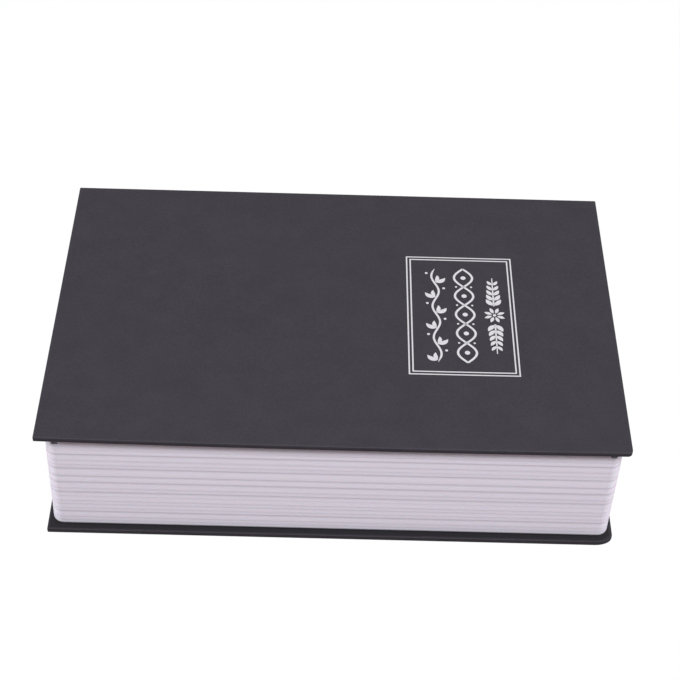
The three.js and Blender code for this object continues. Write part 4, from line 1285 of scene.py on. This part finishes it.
LEAF_START = 2.5 * MM
LEAF_WIDTH = 12.0 * MM
HINGE_LENGTH = 40.0 * MM
KNUCKLES = 5
KNUCKLE_GAP = 0.3 * MM
LEAF_STEEL = 1.0 * MM
ROLL_RADIUS = 1.55 * MM
PIN_RADIUS = 1.0 * MM
PIN_HEAD = (1.7 * MM, 0.9 * MM)  # radius, height
LIP_CLEARANCE = 1.0 * MM
SHEET_EDGE = 0.15 * MM
FLAT_START = 0.4 * MM
LID_CORNERS = (0.4 * MM, 0.4 * MM, 3.0 * MM, 3.0 * MM)
HOLE_GAP = 0.3 * MM
BOX_STEPS, LID_STEPS = (40, 28, 8), (44, 28, 8)
REAR_COLUMNS = ((0, 0.97), (0, 0.995), (4, 0.005), (4, 0.03))  # beside the lid's rear corners
FIXED_ROLL, MOVING_ROLL = (-90, -380), (-125, 150)  # start and end of a knuckle, in degrees
PIN_COLUMNS = 28
STRIKE_STEEL = 1.2 * MM
STRIKE_BEND = 1.8 * MM


def screw_places():
    """Middle of each screw through the box's floor."""
    spots = []
    for number in range(1, 5):
        x0, x1, y0, y1 = area_of(f"tray_screw_{number}")
        spots.append(((x0 + x1) / 2, (y0 + y1) / 2))
    return spots


def box_opening(box):
    """The opening in the top of the steel box, as an area."""
    x0, x1, y0, _ = area_of("steel_tray")
    hinge_y = axis_of("lid_hinge")[1]
    return x0 + box.flange, x1 - box.flange, y0 + box.flange, hinge_y - LEAF_START - box.flange


class SAFE_OT_steel_tray(bpy.types.Operator):
    """Steel box: folded tray with rounded bends and a flange turned in round its opening"""
    bl_idname = "book_safe.steel_tray"
    bl_label = "Steel box"

    def execute(self, context):
        box = context.scene.steel_box
        area = area_of("steel_tray")
        low, high = levels_of("steel_tray")
        steel, bend = box.box_steel, box.bend_radius
        inner = bend - steel
        half = (area[3] - area[2]) / 2
        places = places_round(*BOX_STEPS)
        radii = np.full(4, box.corner_radius)
        flat = bend + FLAT_START
        # From the middle of the floor up the outside and in to the opening, then back inside.
        outside = inset_rows(places, area, radii, [
            (half, low), (flat, low), *side_arcs(bend, low, high, 6), (flat, high)])
        opening = box_opening(box)
        mouth = np.stack([
            level(places, shrunk(opening, inset), np.full(4, bend), z) for inset, z in (
                (-SHEET_EDGE, high), (0, high - SHEET_EDGE),
                (0, high - steel + SHEET_EDGE), (-SHEET_EDGE, high - steel))])
        inside = inset_rows(places, area, radii, [
            (flat, high - steel), *edge_arc(inner, bend, high - bend, 90, 0, 4),
            *edge_arc(inner, bend, low + bend, 0, -90, 4),
            (flat, low + steel), (half, low + steel)])
        shape = closed_surface(np.concatenate([outside, mouth, inside]))
        add_piece("steel_box", shape, "black_steel", ("steel_tray",), "root")
        return {"FINISHED"}


def towards(points, centre):
    """Angles at which points are seen from a centre."""
    return np.arctan2(points[:, 1] - centre[1], points[:, 0] - centre[0])


def flatted_circle(radius, flat):
    """Reach of a circle cut off by two flats across x."""
    def reach(angle):
        return np.minimum(radius, flat / np.maximum(np.abs(np.cos(angle)), TINY))
    return reach


class SAFE_OT_steel_lid(bpy.types.Operator):
    """Steel lid: plate with the lock's hole and three lips that drop into the box"""
    bl_idname = "book_safe.steel_lid"
    bl_label = "Steel lid"

    def execute(self, context):
        box, lock = context.scene.steel_box, context.scene.cam_lock
        area = area_of("steel_lid")
        top = levels_of("steel_lid")[1]
        under = top - box.lid_steel
        radii = np.array(LID_CORNERS)
        places = places_round(*LID_STEPS, [REAR_COLUMNS])
        centre = axis_of("lock_turn")[:2]
        hole = flatted_circle(lock.barrel_radius + HOLE_GAP, lock.barrel_flat + HOLE_GAP)
        rim, _ = outline(places, area, radii)
        angle = towards(rim, centre)
        # Up through the lock's hole, out over the top, down round the edge and in underneath,
        # then down and up the lips and back to the hole.
        rings = [
            star_row(angle, hole(angle) + widening, z) + np.array([*centre, 0])
            for widening, z in (
                (FLAT_START, under), (SHEET_EDGE, under), (0, under + SHEET_EDGE),
                (0, top - SHEET_EDGE), (SHEET_EDGE, top), (FLAT_START, top))]
        edge = SHEET_EDGE * 2
        plate = inset_rows(places, area, radii, [
            (edge + FLAT_START, top), *side_arcs(edge, under, top, 3)[::-1],
            (edge + FLAT_START, under)])
        lip = shrunk(box_opening(box), LIP_CLEARANCE)
        inner = shrunk(lip, box.lid_steel)
        depth = np.where(np.isin(places[:, 0], (1, 2, 3)), 0, box.lip)
        lips = []
        for region, share, inset in (
            (lip, 0, 0), (lip, 1, 0), (lip, 1, SHEET_EDGE), (inner, 1, -SHEET_EDGE), (inner, 1, 0),
            (inner, 0, 0),
        ):
            drop = depth * share - SHEET_EDGE * (share and not inset) * (depth > 0)
            row = level(places, shrunk(region, inset), np.full(4, box.bend_radius), under)
            row[:, 2] -= drop
            lips.append(row)
        shape = closed_surface(np.concatenate([rings, plate, lips]), rows_close=True)
        add_piece("steel_lid_plate", shape, "black_steel", ("steel_lid",), "lid")
        return {"FINISHED"}


def rolled_leaf(first, plate_path, finger_path):
    """A hinge leaf about its pin: a plate, and every second knuckle as a finger rolled round."""
    pitch = HINGE_LENGTH / KNUCKLES
    shapes = [bar_along(plate_path, HINGE_LENGTH, LEAF_STEEL, SHEET_EDGE)]
    for number in range(first, KNUCKLES, 2):
        finger = bar_along(
            finger_path, pitch - KNUCKLE_GAP, LEAF_STEEL - 2 * GLUE_GAP, SHEET_EDGE)
        middle = (number + 0.5) * pitch - HINGE_LENGTH / 2
        shapes.append(moved(finger, (middle, 0, 0)))
    return together(*shapes)


def roll(start, end, steps=28):
    """Points on the knuckle's middle line from one angle to another, in degrees."""
    angle = np.radians(np.linspace(start, end, steps + 1))
    return np.column_stack([ROLL_RADIUS * np.cos(angle), ROLL_RADIUS * np.sin(angle)])


class SAFE_OT_lid_hinges(bpy.types.Operator):
    """Two lid hinges: fixed and moving leaves with rolled knuckles, and headed pins"""
    bl_idname = "book_safe.lid_hinges"
    bl_label = "Lid hinges"

    def execute(self, context):
        _, hinge_y, hinge_z = axis_of("lid_hinge")
        for side in ("left", "right"):
            x0, x1, _, rear = area_of(f"{side}_hinge_fixed_leaf")
            place = ((x0 + x1) / 2, hinge_y, hinge_z)
            fixed_z = levels_of(f"{side}_hinge_fixed_leaf")[0] + LEAF_STEEL / 2 - hinge_z
            fixed = rolled_leaf(
                0,
                [(y, fixed_z) for y in spaced(LEAF_START, rear - hinge_y - SHEET_EDGE, 4)],
                np.concatenate([
                    [(LEAF_START + SHEET_EDGE, fixed_z), (0.6 * LEAF_START, fixed_z)],
                    roll(*FIXED_ROLL)]))
            moving_z = levels_of("steel_lid")[1] + GLUE_GAP + LEAF_STEEL / 2 - hinge_z
            moving = rolled_leaf(
                1,
                [(y, moving_z) for y in spaced(-LEAF_START, -LEAF_WIDTH + SHEET_EDGE, 4)],
                np.concatenate([
                    [(-LEAF_START - SHEET_EDGE, moving_z), (-LEAF_START, moving_z),
                     (-0.72 * LEAF_START, 2.0 * moving_z)],
                    roll(*MOVING_ROLL)]))
            for kind, leaf_shape, body in (("fixed", fixed, "root"), ("moving", moving, "lid")):
                add_piece(
                    f"{side}_{kind}_leaf", moved(leaf_shape, place), "black_steel",
                    (f"{side}_hinge_{kind}_leaf",), body)
            # The pin's outline from head to head, turned about its axis.
            half = HINGE_LENGTH / 2 + KNUCKLE_GAP
            head, tall = PIN_HEAD
            knob = edge_arc(tall * 0.7, 0, half + tall * 0.3, 0, 90, 4)
            crown = [(head - tall * 0.7 - inset, z) for inset, z in knob]
            end = [(PIN_RADIUS, half), (head, half), *crown, (0, half + tall)]
            profile = [(radius, -z) for radius, z in end[::-1]] + end
            pin = moved(turned(profile, PIN_COLUMNS), place, ALONG_X)
            add_piece(f"{side}_pin", pin, "zinc_steel", (f"{side}_hinge_pin",), "root")
        return {"FINISHED"}


class SAFE_OT_strike(bpy.types.Operator):
    """Strike: bent zinc bracket on the front wall that the cam turns under"""
    bl_idname = "book_safe.strike"
    bl_label = "Strike"

    def execute(self, context):
        x0, x1, wall, reach = area_of("strike_bracket")
        low, high = levels_of("strike_bracket")
        half = STRIKE_STEEL / 2
        bend = STRIKE_BEND - half
        centre = (wall + STRIKE_BEND, low + STRIKE_BEND)
        angle = np.radians(np.linspace(180, 270, 9))
        arc = np.column_stack([centre[0] + bend * np.cos(angle), centre[1] + bend * np.sin(angle)])
        path = np.concatenate([
            [(wall + half, high - SHEET_EDGE)], [(wall + half, (high + centre[1]) / 2)], arc,
            [((centre[0] + reach) / 2, low + half)], [(reach - SHEET_EDGE, low + half)]])
        shape = bar_along(path, x1 - x0, STRIKE_STEEL, SHEET_EDGE)
        add_piece("strike_plate", shape, "zinc_steel", ("strike_bracket",), "root")
        return {"FINISHED"}


# Screws: a cross-recessed pan head with its underside at z = 0, and a threaded shank below it.

RECESS_REACH = 0.55
RECESS_HALF_WIDTH = 0.13
RECESS_DEPTH = 0.6
THREAD_ROWS = 7
SCREW_COLUMNS = 72
HEAD_ROWS = 15
HEAD_TOP = 0.9  # reach of a screw head's dome, in head radii
SCREW_PITCH = 1.0 * MM
SCREW_THREAD = 0.22  # depth of a screw's thread, in shank radii
BOX_SCREW_SHANK = 1.4 * MM


def thread_rows(angle, radius, start, end, pitch, depth):
    """Rows down a thread: r - depth * |2 frac(z / pitch + a / 2 pi) - 1|, faded in and out over a
    pitch at its ends."""
    z = np.linspace(start, end, int(abs(end - start) / pitch * THREAD_ROWS) + 1)[:, None]
    phase = (z / pitch + angle / (2 * math.pi)) % 1
    fade = np.clip(np.minimum(abs(z - start), abs(z - end)) / pitch, 0, 1)
    reach = radius - depth * np.abs(2 * phase - 1) * fade
    return reach, z


def pan_head_screw(shank, length, head, height):
    """The head's top is a shallow dome less a cross: two bars with sloping ends and sides."""
    angle = all_round(SCREW_COLUMNS)
    rings = np.linspace(0, HEAD_TOP, HEAD_ROWS)[:, None]
    x, y = rings * np.cos(angle), rings * np.sin(angle)
    cross = np.maximum(
        *((1 - ramp(RECESS_HALF_WIDTH * 0.6, RECESS_HALF_WIDTH * 1.4, abs(across)))
          * (1 - ramp(RECESS_REACH * 0.55, RECESS_REACH, abs(along)))
          for across, along in ((x, y), (y, x))))
    z = height * (1 - 0.22 * rings ** 2) - RECESS_DEPTH * height * cross
    top = np.stack([x * head, y * head, z], -1)
    rim = round_rows([
        (head * 0.985, height * 0.66), (head, height * 0.42), (head, 0.06 * height),
        (head * 0.97, 0), (shank, 0)], angle)
    reach, shank_z = thread_rows(
        angle, shank, 0, -length + shank, SCREW_PITCH, SCREW_THREAD * shank)
    thread = star_row(angle, reach, shank_z)
    tip = round_rows([(shank * 0.35, -length), (0, -length)], angle)
    return closed_surface(np.concatenate([top, rim, thread, tip]))


class SAFE_OT_tray_screws(bpy.types.Operator):
    """Four pan-head screws in the corners of the box's floor"""
    bl_idname = "book_safe.tray_screws"
    bl_label = "Box screws"

    def execute(self, context):
        box = context.scene.steel_box
        floor = levels_of("steel_tray")[0] + box.box_steel + GLUE_GAP
        for number, (x, y) in enumerate(screw_places(), 1):
            node = f"tray_screw_{number}"
            low, high = levels_of(node)
            screw = pan_head_screw(BOX_SCREW_SHANK, floor - low, half_width(node), high - floor)
            add_piece(
                f"box_screw_{number}", moved(screw, (x, y, floor)), "zinc_steel", (node,), "root")
        return {"FINISHED"}


# Cam lock, drawn about its own axis with z = 0 on the lid's outer face

BORE_GAP = 0.3 * MM
BARREL_COLUMNS, PLUG_COLUMNS, NUT_COLUMNS, WASHER_COLUMNS = 120, 96, 144, 72
BEZEL_EDGE = 0.9 * MM
THREAD_DEPTH = 0.55 * MM
PLUG_EDGE = 0.3 * MM
SHOULDER = (6.4 * MM, 0.9 * MM)  # radius, length
SHOULDER_GAP = 0.1 * MM
TANG = 6.4 * MM
TANG_CORNER = 0.64  # reach of the tang's corners, in TANG
KEYWAY_FLOOR = 0.4 * MM
JUMP_TURN = 1e-4  # between the two angles on either side of a jump in the keyway's outline
CAM_TIP = {"width": 10 * MM, "reach": 18 * MM, "rounding": 2.5 * MM, "hub": 8 * MM}
CAM_SCREW = {"shank": 1.6 * MM, "length": 7 * MM}
KEY_STEP = (1.0 * MM, 2.1 * MM)  # reach of the keyway's step along x and y
NUT_ROWS = (1, 0.94, 0.86, 0.14, 0.06, 0)  # shares of the nut's height
NUT_CONE = 1.7  # how far the cone widens with each unit of height


def lock_levels(node):
    """A lock node's lowest and highest z, measured from the lid's outer face."""
    return [z - axis_of("lock_turn")[2] for z in levels_of(node)]


def add_lock_piece(name, shape, slot, node, body):
    """Adds a piece drawn about the lock's axis, at the lock's place in the lid."""
    add_piece(name, moved(shape, axis_of("lock_turn")), slot, (node,), body)


class SAFE_OT_lock_body(bpy.types.Operator):
    """Lock body: rounded bezel and a threaded barrel with two flats, bored for the plug"""
    bl_idname = "book_safe.lock_body"
    bl_label = "Lock body"

    def execute(self, context):
        lock = context.scene.cam_lock
        angle = all_round(BARREL_COLUMNS)
        low, high = lock_levels("lock_body")
        bore = lock.plug_radius + BORE_GAP
        # Out of the bore and over the bezel, down the thread and its flats, and up the bore.
        bezel = [(bore, high - PLUG_EDGE), (bore + PLUG_EDGE, high)]
        bezel += [
            (lock.bezel_radius - inset, z)
            for inset, z in edge_arc(BEZEL_EDGE, BEZEL_EDGE, high - BEZEL_EDGE, 90, 0, 7)]
        bezel += [
            (lock.bezel_radius, GLUE_GAP + SHEET_EDGE), (lock.bezel_radius - SHEET_EDGE, GLUE_GAP)]
        reach, z = thread_rows(
            angle, lock.barrel_radius, GLUE_GAP, low + THREAD_DEPTH, lock.thread_pitch,
            THREAD_DEPTH)
        flats = flatted_circle(lock.barrel_radius, lock.barrel_flat)(angle)
        reach = np.minimum(reach, flats)
        barrel = star_row(angle, reach, z)
        foot = star_row(angle, np.minimum(lock.barrel_radius - THREAD_DEPTH, flats), low)
        inside = round_rows([(bore + PLUG_EDGE, low), (bore, low + PLUG_EDGE)], angle)
        shape = closed_surface(
            np.concatenate([round_rows(bezel, angle), barrel, foot[None], inside]), rows_close=True)
        add_lock_piece("lock_barrel", shape, "lock_chrome", "lock_body", "lid")
        return {"FINISHED"}


class SAFE_OT_lock_plug(bpy.types.Operator):
    """Lock plug: keyway with its step, shoulder under the barrel, square tang with a screw hole"""
    bl_idname = "book_safe.lock_plug"
    bl_label = "Lock plug"

    def execute(self, context):
        lock = context.scene.cam_lock
        half_wide, half_high = lock.keyway_width / 2, lock.keyway_height / 2
        step_x, step_y = KEY_STEP
        step_start = -math.pi / 4
        corners = [
            math.atan2(y * half_high, x * half_wide) for x in (-1, 1) for y in (-1, 1)]
        step_corners = [
            step_start - JUMP_TURN, step_start + JUMP_TURN, math.atan2(-step_y, step_x),
            math.atan2(-step_y, half_wide)]
        square = [QUARTER * (number + 0.5) for number in range(4)]
        angle = all_round(PLUG_COLUMNS, corners + step_corners + square)
        signed = (angle + math.pi) % (2 * math.pi) - math.pi
        keyway = box_reach(half_wide, half_high)(angle)
        in_step = (signed < step_start) & (signed > math.atan2(-step_y, half_wide))
        keyway = np.where(in_step, box_reach(step_x, step_y)(angle), keyway)
        end, top = lock_levels("lock_plug")
        shoulder_radius, shoulder_length = SHOULDER
        shoulder_low = lock_levels("lock_cam")[1] + SHOULDER_GAP
        tang = np.minimum(box_reach(TANG / 2, TANG / 2)(angle), TANG * TANG_CORNER)
        floor = top - lock.keyway_depth
        hole = CAM_SCREW["shank"] + BORE_GAP
        # Up the keyway from its floor, over the face, down the plug, its shoulder and its tang,
        # then up the screw's hole.
        rows = [
            star_row(angle, 0, floor), star_row(angle, keyway, floor),
            star_row(angle, keyway, top - SHEET_EDGE), star_row(angle, keyway + SHEET_EDGE, top)]
        rows += list(round_rows([
            (lock.plug_radius - PLUG_EDGE, top), (lock.plug_radius, top - PLUG_EDGE),
            (lock.plug_radius, shoulder_low + shoulder_length),
            (shoulder_radius - SHEET_EDGE, shoulder_low + shoulder_length),
            (shoulder_radius, shoulder_low + shoulder_length - SHEET_EDGE),
            (shoulder_radius, shoulder_low + SHEET_EDGE),
            (shoulder_radius - SHEET_EDGE, shoulder_low)], angle))
        rows += [
            star_row(angle, tang, shoulder_low), star_row(angle, tang, end + SHEET_EDGE),
            star_row(angle, tang - SHEET_EDGE, end)]
        hole_end = min(end + CAM_SCREW["length"], floor - KEYWAY_FLOOR)
        rows += list(round_rows([(hole, end), (hole, hole_end), (0, hole_end)], angle))
        add_lock_piece(
            "lock_core_plug", closed_surface(rows), "lock_chrome", "lock_plug", "lock_core")
        return {"FINISHED"}


def washer(inner, outer, low, high):
    """A flat ring with its four edges just broken."""
    edge = SHEET_EDGE
    return bored([
        (inner + edge, low), (outer - edge, low), (outer, low + edge), (outer, high - edge),
        (outer - edge, high), (inner + edge, high), (inner, high - edge), (inner, low + edge)],
        WASHER_COLUMNS)


def cam_outline(steps=9):
    """The cam from above: hub arc, then a tapering arm along -x with a rounded tip."""
    hub, reach, round_tip = CAM_TIP["hub"], CAM_TIP["reach"], CAM_TIP["rounding"]
    half = CAM_TIP["width"] / 2
    around = math.pi * np.linspace(-0.65, 0.65, 6 * steps)
    hub_arc = hub * np.column_stack([np.cos(around), np.sin(around)])
    turn = np.linspace(QUARTER, 2 * QUARTER, steps)
    quarter = round_tip * np.column_stack([np.cos(turn), np.sin(turn)])
    near = quarter + (-reach + round_tip, half - round_tip)
    far = near[::-1] * (1, -1)
    share = np.linspace(0, 1, steps)[1:-1, None]
    tip = near[-1] * (1 - share) + far[0] * share
    side = hub_arc[-1] * (1 - share) + near[0] * share
    back = far[-1] * (1 - share) + hub_arc[0] * share
    return np.concatenate([hub_arc, side, near, tip, far, back])


class SAFE_OT_lock_cam(bpy.types.Operator):
    """Cam, its screw and washer, and the nut and washer that hold the lock in the lid"""
    bl_idname = "book_safe.lock_cam"
    bl_label = "Cam and fixings"

    def execute(self, context):
        lock = context.scene.cam_lock
        self.add_cam()
        for name, node, inner, body in (
            ("lock_seat_washer", "lock_washer", lock.barrel_radius + BORE_GAP, "lid"),
            ("cam_seat_washer", "cam_washer", CAM_SCREW["shank"] + BORE_GAP, "lock_core"),
        ):
            ring = washer(inner, half_width(node), *lock_levels(node))
            add_lock_piece(name, ring, "zinc_steel", node, body)
        self.add_nut(lock)
        low, high = lock_levels("cam_screw")
        seat = high - CAM_SCREW["length"]
        screw = pan_head_screw(
            CAM_SCREW["shank"], high - seat, half_width("cam_screw"), seat - low)
        screw = moved(screw, (0, 0, seat), HEAD_DOWN)
        add_lock_piece("cam_fixing_screw", screw, "zinc_steel", "cam_screw", "lock_core")
        return {"FINISHED"}

    def add_cam(self):
        """The cam's outline, drawn in round both its edges, about a square hole."""
        low, high = lock_levels("lock_cam")
        rim = cam_outline()
        along = np.roll(rim, -1, axis=0) - np.roll(rim, 1, axis=0)
        along /= np.linalg.norm(along, axis=1)[:, None]
        outward = np.column_stack([along[:, 1], -along[:, 0]])
        angle = towards(rim, (0, 0))
        hole = box_reach(TANG / 2 + BORE_GAP, TANG / 2 + BORE_GAP)(angle)
        edge = SHEET_EDGE * 2
        rows = [star_row(angle, hole, low), star_row(angle, hole, high)]
        for inset, z in side_arcs(edge, low, high, 3)[::-1]:
            rows.append(np.column_stack([rim - outward * inset, np.full(len(rim), z)]))
        add_lock_piece(
            "cam_plate", closed_surface(rows, rows_close=True), "zinc_steel", "lock_cam",
            "lock_core")

    def add_nut(self, lock):
        """A hexagon whose corners a cone takes off at both faces."""
        low, high = lock_levels("lock_nut")
        across = half_width("lock_nut") * math.cos(math.pi / 6)
        angle = all_round(NUT_COLUMNS)
        hexagon = polygon_reach(across, 6, math.pi / 6)(angle)
        inner = lock.barrel_radius + BORE_GAP
        rows = [star_row(angle, inner, low), star_row(angle, inner, high)]
        for share in NUT_ROWS:
            z = low + (high - low) * share
            cone = across - SHEET_EDGE + min(z - low, high - z) * NUT_CONE
            rows.append(star_row(angle, np.minimum(hexagon, cone), z))
        add_lock_piece(
            "lock_hex_nut", closed_surface(rows, rows_close=True), "zinc_steel", "lock_nut", "lid")


# Stage: a pale floor, a soft lamp in front and one at each side, a white room, and the camera.

FLOOR_REACH = 4.0
FLOOR_LEVEL = -0.05 * MM
TARGET = Vector((2.174, 0.0, 41.494)) * MM
LAMP_DISTANCE = 1.8
LAMPS = {
    "key": {"azimuth": 5, "elevation": 59, "half_angle": 7},
    "left": {"azimuth": -94, "elevation": 4, "half_angle": 3},
    "right": {"azimuth": 94, "elevation": 4, "half_angle": 3},
}
CLIP = (0.05, 20.0)


def direction_to(azimuth, elevation):
    """Unit vector towards a place at an azimuth, rightwards from the front, and a height."""
    flat = math.cos(elevation)
    return Vector((math.sin(azimuth) * flat, -math.cos(azimuth) * flat, math.sin(elevation)))


def facing(place, back, roll=0.0):
    """Matrix of a thing that looks along -back, upright but for a roll about its line of sight."""
    side = Vector((0, 0, 1)).cross(back).normalized()
    up = back.cross(side)
    across = side * math.cos(roll) + up * math.sin(roll)
    upward = up * math.cos(roll) - side * math.sin(roll)
    return Matrix.Translation(place) @ Matrix((across, upward, back)).transposed().to_4x4()


def seen_directly(tree, kinds):
    """1 for the kinds of ray that are named, such as the camera's own, and 0 for all others."""
    path = tree.nodes.new("ShaderNodeLightPath")
    total = path.outputs[kinds[0]]
    for kind in kinds[1:]:
        add = tree.nodes.new("ShaderNodeMath")
        add.operation, add.use_clamp = "ADD", True
        tree.links.new(total, add.inputs[0])
        tree.links.new(path.outputs[kind], add.inputs[1])
        total = add.outputs[0]
    return total


def white_room(stage):
    """World of one level of light that looks white where it is seen."""
    world = bpy.data.worlds.new("white_room")
    world.use_nodes = True
    tree = world.node_tree
    background = tree.nodes["Background"]
    background.inputs["Color"].default_value = (1, 1, 1, 1)
    strength = tree.nodes.new("ShaderNodeMapRange")
    strength.inputs["To Min"].default_value = stage.sky_level
    strength.inputs["To Max"].default_value = 1.0
    seen = seen_directly(tree, ("Is Camera Ray", "Is Glossy Ray", "Is Transmission Ray"))
    tree.links.new(seen, strength.inputs["Value"])
    tree.links.new(strength.outputs[0], background.inputs["Strength"])
    bpy.context.scene.world = world


def pale_floor(stage):
    """Floor that looks white but for the object's faint shadow, and sends little light back up.
    From below it is clear, so that it doesn't hide the object's underside."""
    made = Finish("floor_finish", Roughness=1.0, Specular_IOR_Level=0.0)
    made.set("Base Color", (stage.floor_tone,) * 3)
    glow = made.node("ShaderNodeEmission", {}).outputs[0]
    dim = made.node("ShaderNodeBsdfDiffuse", {"Color": tuple(stage.floor_glow)}).outputs[0]
    clear = made.node("ShaderNodeBsdfTransparent", {}).outputs[0]
    below = made.node("ShaderNodeNewGeometry", {}).outputs["Backfacing"]
    seen = made.mix_shader(1 - stage.shadow_share, made.shader.outputs[0], glow)
    either = made.mix_shader(seen_directly(made.tree, ("Is Camera Ray",)), dim, seen)
    surface = made.tree.nodes["Material Output"].inputs["Surface"]
    made.feed(surface, made.mix_shader(below, either, clear))
    mesh = bpy.data.meshes.new("floor")
    corners = np.array([(-1, -1, 0), (1, -1, 0), (1, 1, 0), (-1, 1, 0)]) * FLOOR_REACH
    corners[:, 2] = FLOOR_LEVEL
    mesh.from_pydata(corners.tolist(), [], [(0, 1, 2, 3)])
    mesh.materials.append(made.material)
    floor = bpy.data.objects.new("floor", mesh)
    bpy.context.scene.collection.objects.link(floor)


def soft_lamp(name, level, azimuth, elevation, half_angle):
    """Square lamp whose power lights a white face turned to it to the wanted level: P = level
    pi^2 d^2. Its place is given by angles from the target, its size by half the angle it fills."""
    lamp = bpy.data.lights.new(f"{name}_lamp", "AREA")
    lamp.size = 2 * LAMP_DISTANCE * math.tan(math.radians(half_angle))
    lamp.energy = level * math.pi ** 2 * LAMP_DISTANCE ** 2
    back = direction_to(math.radians(azimuth), math.radians(elevation))
    stand = bpy.data.objects.new(f"{name}_lamp", lamp)
    stand.matrix_world = facing(TARGET + back * LAMP_DISTANCE, back)
    bpy.context.scene.collection.objects.link(stand)


class SAFE_OT_stage(bpy.types.Operator):
    """Stage: camera, floor, lamps and white room"""
    bl_idname = "book_safe.stage"
    bl_label = "Stage"

    def execute(self, context):
        scene = context.scene
        stage = scene.safe_stage
        camera = bpy.data.cameras.new("camera")
        camera.sensor_width = SENSOR
        camera.lens = stage.lens
        camera.clip_start, camera.clip_end = CLIP
        stand = bpy.data.objects.new("camera", camera)
        back = direction_to(stage.azimuth, stage.elevation)
        stand.matrix_world = facing(TARGET + back * stage.distance, back, stage.roll)
        scene.collection.objects.link(stand)
        scene.camera = stand
        pale_floor(stage)
        for name, place in LAMPS.items():
            soft_lamp(name, getattr(stage, f"{name}_level"), **place)
        white_room(stage)
        scene.view_settings.view_transform = "Standard"
        return {"FINISHED"}


OPERATORS = (
    SAFE_OT_front_cover,
    SAFE_OT_back_cover,
    SAFE_OT_spine,
    SAFE_OT_cover_foil,
    SAFE_OT_page_block,
    SAFE_OT_steel_tray,
    SAFE_OT_steel_lid,
    SAFE_OT_lid_hinges,
    SAFE_OT_strike,
    SAFE_OT_tray_screws,
    SAFE_OT_lock_body,
    SAFE_OT_lock_plug,
    SAFE_OT_lock_cam,
    SAFE_OT_stage,
)


class SAFE_PT_sidebar(bpy.types.Panel):
    """Lists the pieces of the safe and the sizes and colours they are made with"""
    bl_idname = "SAFE_PT_sidebar"
    bl_label = "Book Diversion Safe"
    bl_space_type = "VIEW_3D"
    bl_region_type = "UI"
    bl_category = "Book Safe"

    def draw(self, context):
        pieces = self.layout.column(align=True)
        for operator in OPERATORS:
            pieces.operator(operator.bl_idname)
        for name, group in SETTINGS.items():
            box = self.layout.box()
            box.label(text=group.__doc__)
            for setting in group.__annotations__:
                box.prop(getattr(context.scene, name), setting)


CLASSES = (*SETTINGS.values(), *OPERATORS, SAFE_PT_sidebar)


def register():
    for each in CLASSES:
        bpy.utils.register_class(each)
    for name, group in SETTINGS.items():
        setattr(bpy.types.Scene, name, PointerProperty(type=group))


def unregister():
    for name in SETTINGS:
        delattr(bpy.types.Scene, name)
    for each in reversed(CLASSES):
        bpy.utils.unregister_class(each)


def main():
    """Makes every piece and the stage."""
    register()
    for operator in OPERATORS:
        group, action = operator.bl_idname.split(".")
        getattr(getattr(bpy.ops, group), action)()


if __name__ == "__main__":
    main()
